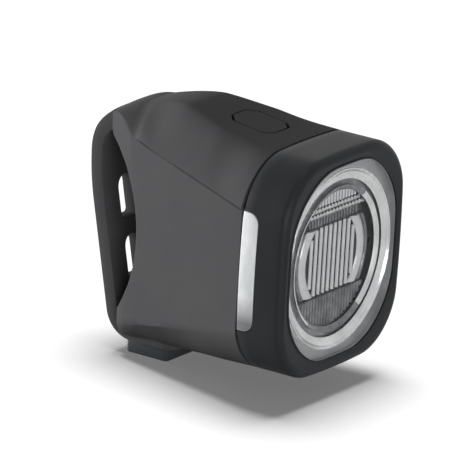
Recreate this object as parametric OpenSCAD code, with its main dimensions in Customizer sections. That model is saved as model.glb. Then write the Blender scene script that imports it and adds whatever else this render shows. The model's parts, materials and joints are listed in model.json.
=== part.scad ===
// Compact handlebar headlight with a silicone strap.
// Modelled from the centre of its front face: +Y runs to the rear, +Z is up.
// The finished part is then placed with the handlebar's axis on the origin.

/* [Front bezel] */
// Width across the bowed sides
bezel_w = 39.8; // [37:0.1:43]
// Height across the bowed top and bottom
bezel_h = 42; // [39:0.1:46]
// Depth from the front face to the parting line
bezel_depth = 9.6; // [9:0.1:12]
// Radius of the four corners
corner_r = 10.2; // [9:0.1:11]
// How far each side bows out between its corners
side_bow = 1; // [0.4:0.1:1.4]
// Rounding of the front edge
edge_r = 1.5; // [0.8:0.1:1.8]
// Width of the front rim around the window
rim_w = 2.6; // [2.4:0.1:3.2]
// Thickness of the front rim
rim_t = 1.2; // [0.8:0.1:1.6]
// Radius of the front window's four corners
glass_r = 12.4; // [10:0.1:14]
// Wall of the bezel's sleeve
bezel_wall = 1.7; // [1.5:0.05:1.75]

/* [Side windows] */
// Width of a window, measured to the rear
window_w = 3.4; // [2.6:0.1:3.8]
// Height of a window
window_h = 22.6; // [16:0.1:24]
// Height of a window's middle above the optical axis
window_z = 0.3; // [-1:0.1:1]
// Radius of a window's two front corners
window_r = 2.2; // [1:0.1:2.5]
// Flange that holds a window behind the wall
window_flange = 0.7; // [0.5:0.1:0.9]

/* [Lens stack] */
// Depth of the cover lens behind the front face
lens_recess = 0.4; // [0.1:0.1:0.8]
// Thickness of the sealing ring behind the rim
gasket_t = 0.6; // [0.4:0.1:1]
// Thickness of the cover lens flange
lens_flange_t = 1.2; // [0.8:0.1:1.6]
// Least width of the frame around the round optic
optic_margin = 1; // [0.9:0.05:1.8]
// Radius of the groove around the optic's beam zone
beam_r = 14.3; // [13.6:0.1:14.4]
// Thickness of the optic's outer ring
optic_rim_t = 0.9; // [0.7:0.1:1.2]
// Thickness of the optic's beam zone
optic_t = 3.2; // [2.6:0.1:3.8]
// Distance between neighbouring flutes of the main patch
flute_pitch = 1.4; // [1.1:0.1:1.8]
// Number of flutes in the main patch
flute_count = 11; // [7:2:13]
// Length of the flutes in the main patch
flute_len = 13.6; // [9:0.1:15]
// Mouth radius of the mirrored bowl
bowl_r = 14.6; // [13.6:0.1:14.8]
// Throat radius of the mirrored bowl, around the emitter
throat_r = 4; // [3.4:0.1:4.6]
// Depth of the mirrored bowl
bowl_depth = 8.4; // [7.4:0.1:9]
// Wall of the mirrored bowl
bowl_wall = 0.9; // [0.6:0.1:1]

/* [Light source] */
// Radius of the light emitter's dome
dome_r = 1.4; // [1:0.1:1.7]
// Radius of the round emitter board
led_board_r = 10.5; // [9.8:0.1:11]
// Thickness of the emitter board
led_board_t = 1.2; // [0.8:0.1:1.6]
// Width of the heat spreader
sink_w = 25; // [24:0.1:26]
// Thickness of the heat spreader's plate
sink_t = 2.2; // [1.6:0.1:3]
// Height of the heat spreader's fins
fin_h = 2; // [1:0.1:2.4]

/* [Body] */
// Length of the body behind the parting line, up to the strap's root
body_len = 37.9; // [37:0.1:40]
// Gap at the parting line, filled by the body seal
parting_gap = 0.5; // [0.3:0.1:0.8]
// How far the hood stands proud of the flat cheeks at their crease
crease_lift = 0.6; // [0.4:0.05:0.9]
// Distance of the hood's highest point behind the parting line
peak_run = 22; // [20:0.1:24]
// Height of the hood's highest point above the optical axis
peak_z = 24.1; // [23.5:0.1:26]
// Width of the hood's rounded shoulders
shoulder_r = 7.2; // [5:0.1:10.8]
// Distance of the cheeks' rear edge behind the parting line
flank_run = 31.7; // [30:0.1:33]
// Width across the cheeks' rear edges
flank_w = 19.8; // [19:0.1:20.6]
// Downward slope of the belly towards the rear, in degrees
belly_slope = 4.9; // [2:0.1:5.5]
// Rear radius of the belly's corners
belly_r = 4.5; // [3.4:0.1:6]
// Wall of the silicone jacket
jacket_t = 1.8; // [1.75:0.05:2.2]
// Wall of the hard inner shell
shell_t = 1.6; // [1.2:0.05:1.8]

/* [Handlebar seat] */
// Radius of the concave rear that rests on the handlebar
seat_r = 25; // [24:0.1:30]
// Distance from the front face to the deepest line of the seat
seat_y = 38.9; // [38.5:0.1:40]
// Height of the seat's axis above the optical axis
seat_z = -2.8; // [-4:0.1:-2]
// Distance from the front face to the lip under the seat
lip_y = 43.4; // [42.6:0.1:44]
// Rounding of the lip's lower edge
lip_r = 2; // [1:0.1:2.6]
// Diameter of the handlebar that the origin is set for
bar_d = 31.8; // [22.2:0.1:35]

/* [Strap] */
// Width of the strap
strap_w = 14.4; // [13.6:0.1:15]
// Thickness of the strap
strap_t = 2.4; // [2:0.1:2.6]
// Distance from the front face to the strap's rearmost point
strap_back_y = 52.4; // [52:0.1:54]
// Outer radius of the strap's crown
crown_r = 9.9; // [9.4:0.1:10.6]
// Inner radius of the strap's crown
crown_in_r = 5.5; // [4.8:0.1:6]
// Height of the strap's rearmost point above the optical axis
crown_axis_z = 11.9; // [11.4:0.1:12.6]
// Outer radius of the bend below the crown
bend_r = 50; // [40:1:60]
// Forward lean of the strap's straight run, in degrees
strap_lean = 11.7; // [11:0.1:12.4]
// Outer radius of the bend round the rear corner of the belly
turn_r = 6; // [5.4:0.1:6.6]
// Height of that bend's axis, below the optical axis
turn_z = 17.6; // [17.2:0.1:18]
// Length of the strap's end in front of the bend
strap_end_len = 9.8; // [9:0.1:11]
// Width of the holes
hole_w = 4.6; // [4:0.1:6]
// Height of the holes
hole_h = 8; // [7:0.1:8.6]
// Distance between neighbouring holes
hole_pitch = 11.2; // [10.6:0.1:12]
// Height of the upper hole's lower edge
hole_z = -2.4; // [-3:0.1:-1]

/* [Strap hook] */
// Width of the hook's head
hook_w = 12; // [10:0.1:13]
// Length of the hook's head
hook_len = 9.5; // [8:0.1:10]
// Height of the hook's head
hook_h = 2.5; // [1.8:0.1:4]
// Distance from the hook's front edge to the middle of its neck
hook_reach = 2.9; // [2.4:0.1:3.4]
// Width of the hook's neck
neck_w = 5; // [4:0.1:5.6]
// Length of the hook's neck
neck_len = 4.4; // [3.6:0.1:5]

/* [Button] */
// Distance of the button's middle behind the front face
button_y = 19.4; // [18.6:0.1:21]
// Length of the button
button_len = 8; // [7:0.1:9]
// Width of the button
button_w = 6.8; // [6:0.1:8]
// Cut corners of the button's outline
button_cut = 1.8; // [1:0.1:2.4]
// Thickness of the button's pad
button_t = 0.9; // [0.7:0.05:1]
// Groove around the button
button_groove = 0.4; // [0.3:0.05:0.5]
// Travel of the button
button_travel = 0.8; // [0.5:0.05:0.8]
// Travel of the switch under the button
switch_travel = 0.3; // [0.2:0.05:0.35]
// Radius of the plunger between button and switch
plunger_r = 1.4; // [1.1:0.1:1.8]

/* [Inner pieces] */
// Height of the control board's underside above the optical axis
board_z = 12.2; // [11.8:0.1:12.8]
// Thickness of the circuit boards
board_t = 1; // [0.8:0.1:1.2]
// Width of the circuit boards
board_w = 14.8; // [13:0.1:15]
// Width of the battery cell
cell_w = 16.4; // [14:0.1:16.6]
// Depth of the battery cell
cell_d = 13.6; // [11:0.1:13.8]
// Height of the battery cell
cell_h = 22; // [18:0.1:22.4]
// Thickness of the foam pads on the battery cell
foam_t = 1; // [0.8:0.1:1.2]
// Width of the largest package on the control board
chip_w = 4; // [3:0.1:4.6]
// Height of the packages on the control board
chip_h = 1; // [0.6:0.1:1.4]
// Length of the bosses that the heat spreader is screwed to
boss_len = 4; // [3.4:0.1:4.4]
// Diameter of the insulated leads
lead_d = 1.1; // [0.8:0.1:1.3]

/* [Charging port] */
// Distance of the port's middle behind the front face
port_y = 24.5; // [23:0.1:26]
// Width of the port's metal shell
port_w = 8.94; // [8.9:0.01:9.1]
// Depth of the port's metal shell
port_d = 3.26; // [3.2:0.01:3.4]
// Height of the port
port_h = 7.4; // [6.5:0.1:7.5]
// Width of the rubber cover
cover_w = 14; // [13:0.1:15]
// Length of the rubber cover
cover_len = 9; // [8:0.1:9.4]
// Thickness of the rubber cover
cover_t = 0.9; // [0.7:0.05:1]

/* [Clearances] */
// Between pieces that are seated on each other
seat_gap = 0.05; // [0.03:0.01:0.1]
// Between pieces that slide into each other
slip_gap = 0.15; // [0.1:0.01:0.2]
// Between pieces that move past each other
free_gap = 0.3; // [0.25:0.01:0.4]
// Radius of the small screws' shanks
screw_r = 1; // [0.8:0.05:1.1]
// Radius of the small screws' heads
screw_head_r = 1.7; // [1.5:0.05:1.8]
// Height of the small screws' heads
screw_head_h = 1; // [0.8:0.05:1.2]

/* [Hidden] */
$fn = 48;

// Facets of a rounded corner and of the long surfaces
corner_steps = 6;
body_steps = 9;
inner_steps = 6;
edge_steps = 4;
over = 1;

// Places along the light, from the front face to the rear
lens_y = rim_t + gasket_t;
optic_y = lens_y + lens_flange_t + seat_gap;
bowl_y = optic_y + optic_rim_t + seat_gap;
bowl_flange_t = 1;
optic_r = bezel_w / 2 - bezel_wall - optic_margin;
spigot_y = bowl_y + bowl_flange_t + seat_gap;
throat_y = bowl_y + bowl_depth;
led_board_y = throat_y + 0.5;
sink_y = led_board_y + led_board_t + seat_gap;
fin_y = sink_y + sink_t;
foam_y = fin_y + fin_h + seat_gap;
cell_y = foam_y + foam_t + seat_gap;
body_y = bezel_depth + parting_gap;
peak_y = body_y + peak_run;
seam_y = body_y + body_len;
arch_y = seam_y - 7.6;
flank_y = body_y + flank_run;
capsule_y = flank_y + 2;
bar_y = seat_y + bar_d / 2;

// Insets of the nested shells behind the body's outer skin
shell_out = jacket_t + seat_gap;
shell_in = shell_out + shell_t;

// Flat cheeks: half widths at the parting line, at their rear edge and at the strap's root
cheek_front = bezel_w / 2 - crease_lift;
cheek_rear = flank_w / 2;
cheek_root = strap_w / 2;
arch_r = 9.8;
shoulder_run = 12;
rise_mix = 0.7;
rise_power = 1.55;
fall_power = 1.73;
root_lift = 0.4;
root_run = 6;
crown_edge_r = 1;
rear_bow = 0.3;

// Strap: axes of its bends and places of its end
bend_y = strap_back_y - bend_r;
crown_y = strap_back_y - crown_r;
crown_in_y = strap_back_y - strap_t - crown_in_r;
root_y = seam_y + free_gap;
crown_z = crown_axis_z + sqrt(crown_r * crown_r - pow(seam_y - crown_y, 2));
root_z = crown_axis_z + sqrt(crown_in_r * crown_in_r - pow(root_y - crown_in_y, 2));
turn_y = bend_y + (bend_r - turn_r - (turn_z + crown_axis_z) * sin(strap_lean)) / cos(strap_lean);
strap_low = -turn_z - turn_r;
tail_y = turn_y - strap_end_len;
channel_z = strap_low + strap_t + free_gap;
hook_y0 = turn_y - 7.5;
neck_y = hook_y0 + hook_reach;
hook_top = strap_low - free_gap;
hook_bottom = hook_top - hook_h;
floor_z = channel_z + shell_out;
inner_floor_z = channel_z + shell_in;

// Button: slope of the hood there and heights of the pieces under it
button_slope = atan((hood_z(button_y + 1) - hood_z(button_y - 1)) / 2);
pad_low = hood_z(button_y) - button_t;
plunger_top = pad_low - plunger_r * tan(button_slope) - 2 * seat_gap;
switch_w = 4.5;
switch_h = 1.8;
stem_r = 1.1;
stem_top = board_z + board_t + switch_h + 0.8;
stem_gap = button_travel - switch_travel + seat_gap;

// Charging port: heights of its pieces
belly_at_port = -belly_z(port_y);
port_mouth = belly_at_port + jacket_t + 0.2;
charge_board_z = port_mouth + port_h;
port_wall = 0.35;
cell_low = charge_board_z + board_t + 0.4;

function mix(a, b, t) = a + (b - a) * t;
function clamp01(t) = max(0, min(1, t));
function body_u(y) = clamp01((y - body_y) / body_len);

// Profile of the body along its length
function cheek_x(y) = y < flank_y
    ? mix(cheek_front, cheek_rear, clamp01((y - body_y) / flank_run))
    : mix(cheek_rear, cheek_root, (y - flank_y) / (seam_y - flank_y));
function ease(t) = t * t * (3 - 2 * t);
function hood_rise(t) = mix(ease(pow(t, rise_power)), t, rise_mix);
function hood_lift(y) = root_lift * sin(180 * clamp01((y - seam_y + root_run) / root_run));
function hood_z(y) = hood_lift(y) + (y < peak_y
    ? mix(bezel_h / 2, peak_z, hood_rise(clamp01((y - body_y) / peak_run)))
    : mix(peak_z, crown_z, pow((y - peak_y) / (seam_y - peak_y), fall_power)));
function belly_z(y) = bezel_h / 2 + max(0, y - body_y) * tan(belly_slope);
function hood_r(y) = mix(corner_r, shoulder_r, clamp01((y - body_y) / shoulder_run));
function hood_drop(y) = y < arch_y
    ? mix(corner_r, arch_r, clamp01((y - body_y) / (arch_y - body_y)))
    : mix(crown_edge_r, arch_r, pow(clamp01((seam_y - y) / (seam_y - arch_y)), 1.6));

// Quarter of a rounded outline with bowed sides, from its side to its top; its corner is r wide and d deep
function quarter(hw, h, r, d, bow) =
    let (
        a = hw - bow,
        b = h - bow,
        base = concat(
            [[a, 0], [a, (b - d) / 2]],
            [for (i = [0:corner_steps]) let (t = 90 * i / corner_steps)
                [a - r + r * cos(t), b - d + d * sin(t)]],
            [[(a - r) / 2, b], [0, b]]
        )
    )
    [for (p = base) [p[0] + bow * (1 - pow(p[1] / b, 2)), p[1] + bow * (1 - pow(p[0] / a, 2))]];

// Whole outline in X and Z, counter-clockwise from the front
function outline(hw, top, low, top_r, top_d, low_r, bow) =
    let (
        t = quarter(hw, top, min(top_r, hw - bow - 0.2), top_d, bow),
        d = quarter(hw, low, low_r, low_r, bow),
        n = len(t)
    )
    concat(
        t,
        [for (i = [n - 2:-1:0]) [-t[i][0], t[i][1]]],
        [for (i = [1:n - 1]) [-d[i][0], -d[i][1]]],
        [for (i = [n - 2:-1:1]) [d[i][0], -d[i][1]]]
    );

function bezel_outline(inset) =
    let (h = bezel_h / 2 - inset, r = corner_r - inset)
    outline(bezel_w / 2 - inset, h, h, r, r, r, side_bow);

function glass_outline(inset) =
    let (h = bezel_h / 2 - rim_w - inset, r = glass_r - inset)
    outline(bezel_w / 2 - rim_w - inset, h, h, r, r, r, side_bow);

function body_outline(y, inset) =
    outline(
        cheek_x(y) + crease_lift - inset,
        hood_z(y) - inset,
        belly_z(y) - inset,
        max(hood_r(y) - inset, 1),
        max(hood_drop(y) - inset, crown_edge_r),
        max(mix(corner_r, belly_r, body_u(y)) - inset, 1),
        mix(side_bow, rear_bow, body_u(y))
    );

function arc(cy, cz, r, from, to, steps) =
    [for (i = [0:steps]) let (t = mix(from, to, i / steps)) [cy + r * cos(t), cz + r * sin(t)]];

// Skin through outlines that stand at the given depths
module loft(depths, outlines) {
    n = len(outlines[0]);
    m = len(depths);
    points = [for (k = [0:m - 1]) for (p = outlines[k]) [p[0], depths[k], p[1]]];
    sides = [for (k = [0:m - 2]) for (i = [0:n - 1]) let (a = k * n, b = a + n, j = (i + 1) % n)
        each [[a + i, a + j, b + j], [a + i, b + j, b + i]]];
    front = [for (i = [n - 1:-1:0]) i];
    rear = [for (i = [0:n - 1]) (m - 1) * n + i];
    polyhedron(concat(points), concat(sides, [front], [rear]));
}

// Extrusion of a profile drawn in X and Z, from y = 0 to the rear
module along_y(depth) {
    translate([0, depth, 0])
        rotate([90, 0, 0])
            linear_extrude(depth)
                children();
}

// Extrusion of a profile drawn in Y and Z, centred on x = 0
module across_x(width) {
    rotate([90, 0, 90])
        linear_extrude(width, center = true)
            children();
}

// Turned piece round the optical axis, from a profile of radius and depth
module turned_y() {
    rotate([-90, 0, 0])
        rotate_extrude()
            children();
}

module rod_y(r, from, to) {
    translate([0, from, 0])
        rotate([-90, 0, 0])
            cylinder(r = r, h = to - from);
}

module rounded_rect(w, h, r) {
    square([w - 2 * r, h], center = true);
    square([w, h - 2 * r], center = true);
    for (x = [-1, 1], y = [-1, 1])
        translate([x * (w / 2 - r), y * (h / 2 - r)])
            circle(r);
}

// Outer form of the bezel with its rounded front edge
module bezel_form() {
    turns = [for (i = [edge_steps:-1:0]) 90 * i / edge_steps];
    loft(
        concat([for (t = turns) edge_r * (1 - sin(t))], [bezel_depth]),
        concat([for (t = turns) bezel_outline(edge_r * (1 - cos(t)))], [bezel_outline(0)])
    );
}

module bezel_pocket(inset) {
    translate([0, rim_t, 0])
        along_y(bezel_depth)
            polygon(bezel_outline(inset));
}

// Side window outline in Y and Z, with its straight edge on the parting line
module window_profile(grow) {
    low = window_z - window_h / 2 - grow;
    front = bezel_depth - window_w - grow;
    high = window_z + window_h / 2 + grow;
    translate([front + window_r, low])
        square([window_w + grow - window_r + over, high - low]);
    translate([front, low + window_r])
        square([window_w, high - low - 2 * window_r]);
    for (z = [low + window_r, high - window_r])
        translate([front + window_r, z])
            circle(window_r);
}

module window_prism(side, grow) {
    translate([side * bezel_w / 2, 0, 0])
        across_x(bezel_w / 2)
            window_profile(grow);
}

module behind_parting_line() {
    translate([-bezel_w, bezel_depth - seat_gap, -bezel_h])
        cube([2 * bezel_w, bezel_depth, 2 * bezel_h]);
}

module front_bezel() {
    color("#1b1c1e")
        difference() {
            bezel_form();
            translate([0, -over, 0])
                along_y(rim_t + 2 * over)
                    polygon(glass_outline(0));
            bezel_pocket(bezel_wall);
            for (side = [-1, 1])
                window_prism(side, slip_gap);
        }
}

// Clear plug that fills the bezel's side slot, with a flange behind the wall
module side_window(side) {
    flange_y = bezel_depth - window_w - window_flange;
    flange_h = window_h + 2 * window_flange;
    flange_out = bezel_wall + seat_gap;
    flange_in = flange_out + window_flange;
    color("#dfe6ea") {
        difference() {
            intersection() {
                bezel_form();
                window_prism(side, 0);
            }
            bezel_pocket(flange_in);
            behind_parting_line();
        }
        intersection() {
            translate([0, flange_y, 0])
                along_y(bezel_depth - seat_gap - flange_y)
                    difference() {
                        polygon(bezel_outline(flange_out));
                        polygon(bezel_outline(flange_in));
                    }
            translate([side * bezel_w / 2, bezel_depth / 2, window_z])
                cube([bezel_w / 2, bezel_depth, flange_h], center = true);
        }
    }
}

module cover_lens() {
    color("#e8eef2") {
        translate([0, lens_recess, 0])
            along_y(lens_y - lens_recess)
                polygon(glass_outline(slip_gap));
        translate([0, lens_y, 0])
            along_y(lens_flange_t)
                polygon(bezel_outline(bezel_wall + slip_gap));
    }
}

module lens_gasket() {
    color("#2a2a2c")
        translate([0, rim_t, 0])
            along_y(gasket_t)
                difference() {
                    polygon(bezel_outline(bezel_wall + slip_gap));
                    polygon(glass_outline(0));
                }
}

// Row of half-round flutes on the optic's face, standing side by side along X
module flutes(count, pitch, length, z) {
    for (i = [0:count - 1])
        translate([(i - (count - 1) / 2) * pitch, 0, z])
            cylinder(r = pitch / 2, h = length, center = true, $fn = 16);
}

// Moulded optic: outer ring, groove, fluted main patch, fine lower flutes and a row of facets
module optic_lens() {
    face_y = optic_y + 0.5;
    patch_w = flute_count * flute_pitch;
    fine_pitch = flute_pitch * 0.65;
    fine_count = 2 * floor(beam_r / fine_pitch / 2) + 1;
    groove_w = 0.5;
    facet_w = 1.8;
    facet_rows = 7;
    patch_z = 0.9;
    patch_low = patch_z - flute_len / 2;
    patch_top = patch_z + flute_len / 2;
    color("#dfe8ee") {
        difference() {
            turned_y()
                polygon([
                    [0, face_y], [beam_r - 0.6, face_y], [beam_r, optic_y + 0.2], [optic_r, optic_y],
                    [optic_r, optic_y + optic_rim_t], [beam_r - 0.2, optic_y + optic_rim_t],
                    [beam_r - 0.4, optic_y + optic_rim_t + 0.3], [beam_r - 2.4, optic_y + optic_t],
                    [0, optic_y + optic_t]
                ]);
            turned_y()
                translate([beam_r - groove_w / 2, optic_y - over])
                    square([groove_w, optic_rim_t / 2 + over]);
            translate([-patch_w / 2, optic_y - over, patch_low])
                cube([patch_w, over + 1.1, flute_len]);
        }
        translate([0, optic_y + 1.1, 0])
            intersection() {
                flutes(flute_count, flute_pitch, flute_len, patch_z);
                translate([-patch_w / 2, -flute_pitch, patch_low])
                    cube([patch_w, flute_pitch + 0.2, flute_len]);
            }
        intersection() {
            translate([0, face_y, 0])
                flutes(fine_count, fine_pitch, beam_r, patch_low - 0.4 - beam_r / 2);
            rod_y(beam_r - 1.2, face_y - fine_pitch / 2, face_y + 0.2);
        }
        for (i = [0:facet_rows - 1], k = [0, 1])
            translate([(i - (facet_rows - 1) / 2 + k / 2) * facet_w, face_y, patch_top + 1.1 + k * 1.5])
                rotate([0, 45, 0])
                    cube([facet_w * 0.7, 0.7, facet_w * 0.7], center = true);
    }
}

// Mirrored bowl with a square flange that frames the round optic
module reflector() {
    bowl_k = (bowl_r * bowl_r - throat_r * throat_r) / bowl_depth;
    steps = 8;
    inner = [for (i = [0:steps]) let (d = bowl_depth * i / steps) [sqrt(bowl_r * bowl_r - bowl_k * d), bowl_y + d]];
    outer = [for (p = inner) [p[0] + bowl_wall, p[1]]];
    color("#c4c9cd") {
        difference() {
            translate([0, optic_y, 0])
                along_y(bowl_y + bowl_flange_t - optic_y)
                    polygon(bezel_outline(bezel_wall + slip_gap));
            rod_y(optic_r + slip_gap, optic_y - over, bowl_y);
            rod_y(bowl_r, optic_y, spigot_y + over);
        }
        turned_y()
            polygon(concat(inner, [for (i = [steps:-1:0]) outer[i]]));
    }
}

module led_emitter() {
    base_w = 3.5;
    base_t = 0.8;
    dome_y = led_board_y - seat_gap - base_t;
    color("#f0d878") {
        translate([-base_w / 2, dome_y, -base_w / 2])
            cube([base_w, base_t, base_w]);
        intersection() {
            translate([0, dome_y, 0])
                sphere(dome_r);
            rod_y(dome_r, dome_y - dome_r, dome_y + base_t / 2);
        }
    }
}

// Screw whose axis runs along Y and whose head sits at its front end
module screw_y(x, z, head_y, length) {
    drive_r = 0.6;
    translate([x, 0, z])
        difference() {
            union() {
                rod_y(screw_head_r, head_y - screw_head_h, head_y);
                rod_y(screw_r, head_y - screw_head_h / 2, head_y + length);
            }
            rod_y(drive_r, head_y - screw_head_h - over, head_y - screw_head_h / 2, $fn = 6);
        }
}

led_screw_x = throat_r + bowl_wall + screw_head_r + 1.7;
sink_screw_x = sink_w / 2 - 2.2;
sink_screw_len = sink_t + 2.2;

module led_board() {
    color("#e9e9e4")
        difference() {
            rod_y(led_board_r, led_board_y, led_board_y + led_board_t);
            for (side = [-1, 1])
                translate([side * led_screw_x, 0, 0])
                    rod_y(screw_r + slip_gap, led_board_y - over, led_board_y + led_board_t + over);
        }
}

module led_board_screws() {
    color("#b9bcc0")
        for (side = [-1, 1])
            screw_y(side * led_screw_x, 0, led_board_y - seat_gap, led_board_t + sink_t / 2);
}

// Aluminium plate with short fins behind it
module heat_sink() {
    fins = 5;
    fin_t = 1.2;
    fin_pitch = 2.6;
    color("#a9adb1")
        difference() {
            union() {
                translate([0, sink_y, 0])
                    along_y(sink_t)
                        rounded_rect(sink_w, sink_w, 3);
                for (i = [0:fins - 1])
                    translate([(i - (fins - 1) / 2) * fin_pitch - fin_t / 2, sink_y + sink_t - seat_gap, -sink_w * 0.3])
                        cube([fin_t, fin_h + seat_gap, sink_w * 0.6]);
            }
            for (side = [-1, 1]) {
                translate([side * led_screw_x, 0, 0])
                    rod_y(screw_r + seat_gap, sink_y - over, sink_y + sink_t / 2 + 0.4);
                translate([side * sink_screw_x, 0, sink_screw_z])
                    rod_y(screw_r + slip_gap, sink_y - over, sink_y + sink_t + over);
            }
        }
}

sink_screw_z = -8;

module heat_sink_screws() {
    color("#b9bcc0")
        for (side = [-1, 1])
            screw_y(side * sink_screw_x, sink_screw_z, sink_y - seat_gap, sink_screw_len);
}

// Room between the two flat cheeks, in plan
module between_cheeks(inset) {
    front = cheek_front - inset;
    rear = cheek_rear - inset;
    root = cheek_root - inset;
    translate([0, 0, -bezel_h])
        linear_extrude(2 * bezel_h)
            polygon([
                [-front, 0], [front, 0], [front, body_y], [rear, flank_y], [root, seam_y],
                [-root, seam_y], [-rear, flank_y], [-front, body_y]
            ]);
}

module body_skin(inset, from, steps) {
    depths = concat(
        from < body_y ? [from] : [],
        [for (i = [0:steps]) mix(body_y, arch_y, i / steps)],
        [for (i = [1:steps - 2]) mix(arch_y, seam_y, i / (steps - 2))]
    );
    intersection() {
        loft(depths, [for (y = depths) body_outline(y, inset)]);
        between_cheeks(inset);
    }
}

module handlebar_seat(inset) {
    translate([0, seat_y + seat_r, seat_z])
        rotate([0, 90, 0])
            cylinder(r = seat_r + inset, h = 2 * bezel_w, center = true, $fn = 96);
}

// Room under the belly for the strap's end, with the walls above it
module strap_bay(inset) {
    translate([-bezel_w, tail_y - free_gap - inset, -2 * bezel_h])
        cube([2 * bezel_w, 2 * body_len, 2 * bezel_h + channel_z + inset]);
}

// Form inside the jacket: the body's skin moved inwards, clear of the seat and the strap
module capsule(inset, from) {
    difference() {
        body_skin(inset, from, inner_steps);
        handlebar_seat(inset);
        strap_bay(inset);
        translate([-bezel_w, capsule_y - inset, -bezel_h])
            cube([2 * bezel_w, seam_y, 2 * bezel_h]);
    }
}

// Button outline in X and Y
module button_outline(grow) {
    w = button_w / 2 + grow;
    l = button_len / 2 + grow;
    c = button_cut;
    polygon([
        [-w, -l + c], [-w + c, -l], [w - c, -l], [w, -l + c],
        [w, l - c], [w - c, l], [-w + c, l], [-w, l - c]
    ]);
}

module button_prism(grow, low, high) {
    translate([0, button_y, hood_z(button_y)])
        rotate([button_slope, 0, 0])
            translate([0, 0, low])
                linear_extrude(high - low)
                    button_outline(grow);
}

// Frame on the belly under the charging port, with its own +Z pointing into the body
module at_port() {
    translate([0, port_y, belly_at_port])
        rotate([-belly_slope, 0, 0])
            children();
}

cover_r = 2;
plug_w = 11;
plug_len = 5.6;
plug_h = jacket_t - cover_t - seat_gap;

// Rear end of the body in Y and Z: room under the strap's root, and the lip under the seat
module rear_limit() {
    low = -belly_z(lip_y);
    polygon([
        [seat_y + 4.6, seat_z + 14.5], [seam_y, root_z], [seam_y + turn_r, root_z],
        [seam_y + turn_r, seat_z], [seat_y + 4.6, seat_z]
    ]);
    translate([lip_y, low - turn_r])
        square([turn_r, seat_z - low]);
    difference() {
        translate([lip_y - lip_r, low - turn_r])
            square([turn_r, turn_r + lip_r]);
        translate([lip_y - lip_r, low + lip_r])
            circle(lip_r);
    }
}

module silicone_jacket() {
    color("#262728")
        difference() {
            body_skin(0, body_y, body_steps);
            capsule(jacket_t, body_y - over);
            handlebar_seat(0);
            across_x(2 * bezel_w)
                rear_limit();
            across_x(strap_w + 2 * free_gap)
                difference() {
                    translate([turn_y, -turn_z - 2 * turn_r])
                        square([2 * turn_r, 2 * turn_r]);
                    translate([turn_y, -turn_z])
                        circle(turn_r - strap_t - free_gap);
                }
            translate([-strap_w / 2 - free_gap, tail_y - free_gap, -bezel_h])
                cube([strap_w + 2 * free_gap, turn_y + over - tail_y, bezel_h + channel_z]);
            translate([0, neck_y, channel_z - over])
                linear_extrude(shell_out + 2 * over)
                    rounded_rect(neck_w + 2 * slip_gap, neck_len + 2 * slip_gap, 1);
            button_prism(button_groove, -2 * jacket_t, 2 * over);
            at_port() {
                translate([0, 0, -over])
                    linear_extrude(over + cover_t + seat_gap)
                        rounded_rect(cover_w + 2 * free_gap, cover_len + 2 * free_gap, cover_r);
                linear_extrude(2 * jacket_t)
                    rounded_rect(plug_w + 2 * free_gap, plug_len + 2 * free_gap, 1.4);
            }
        }
}

module body_gasket() {
    groove = 0.5;
    color("#101011")
        translate([0, bezel_depth + seat_gap, 0])
            along_y(parting_gap - 2 * seat_gap)
                difference() {
                    intersection() {
                        polygon(body_outline(body_y, groove));
                        square([2 * (cheek_front - groove), 2 * bezel_h], center = true);
                    }
                    intersection() {
                        polygon(body_outline(body_y, shell_out - slip_gap));
                        square([2 * (cheek_front - shell_out + slip_gap), 2 * bezel_h], center = true);
                    }
                }
}

// Ledges and bosses on the inside of the shell
module shell_fittings() {
    ledge_t = 1.1;
    ledge_len = 9;
    ledge_x = board_w / 2 - 1;
    boss_r = screw_r + 1.2;
    for (side = [-1, 1]) {
        for (z = [board_z - ledge_t - seat_gap, charge_board_z - ledge_t - seat_gap])
            translate([side * (ledge_x + bezel_w / 4), cell_y + 5 + ledge_len / 2, z + ledge_t / 2])
                cube([bezel_w / 2, ledge_len, ledge_t], center = true);
        translate([side * sink_screw_x, 0, sink_screw_z]) {
            rod_y(boss_r, fin_y + seat_gap, fin_y + boss_len);
            translate([side * bezel_w / 4, fin_y + (boss_len + seat_gap) / 2, 0])
                cube([bezel_w / 2, boss_len - seat_gap, 2 * boss_r], center = true);
        }
    }
}

module inner_shell() {
    color("#3a3b3d")
        difference() {
            union() {
                difference() {
                    capsule(shell_out, spigot_y);
                    capsule(shell_in, spigot_y - over);
                }
                intersection() {
                    shell_fittings();
                    capsule(shell_out + shell_t / 2, spigot_y);
                }
            }
            translate([0, spigot_y + (body_y - spigot_y) / 2 - over, window_z])
                cube([2 * bezel_w, body_y - spigot_y + 2 * over, window_h + 4 * window_flange], center = true);
            translate([0, button_y, 0])
                cylinder(r = plunger_r + slip_gap, h = bezel_h);
            translate([0, port_y, -bezel_h])
                linear_extrude(bezel_h)
                    rounded_rect(port_w + 2 * slip_gap, port_d + 2 * slip_gap, 1);
            translate([0, neck_y, -bezel_h])
                cylinder(r = screw_r + slip_gap, h = bezel_h);
            for (side = [-1, 1])
                translate([side * sink_screw_x, 0, sink_screw_z])
                    rod_y(screw_r + seat_gap, fin_y - over, fin_y + boss_len * 0.75);
        }
}

module mode_button() {
    near = button_len;
    depths = [for (i = [0:4]) mix(button_y - near, button_y + near, i / 4)];
    color("#2b2c2d")
        intersection() {
            loft(depths, [for (y = depths) body_outline(y, 0)]);
            button_prism(0, -button_t, 2 * over);
        }
}

module button_plunger() {
    flange_z = hood_z(button_y) - shell_in - button_travel;
    color("#d8d8d4") {
        translate([0, button_y, stem_top + stem_gap])
            cylinder(r = plunger_r, h = plunger_top - stem_top - stem_gap);
        translate([0, button_y, flange_z - 0.6])
            cylinder(r = plunger_r + 1.2, h = 0.6);
    }
}

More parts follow.
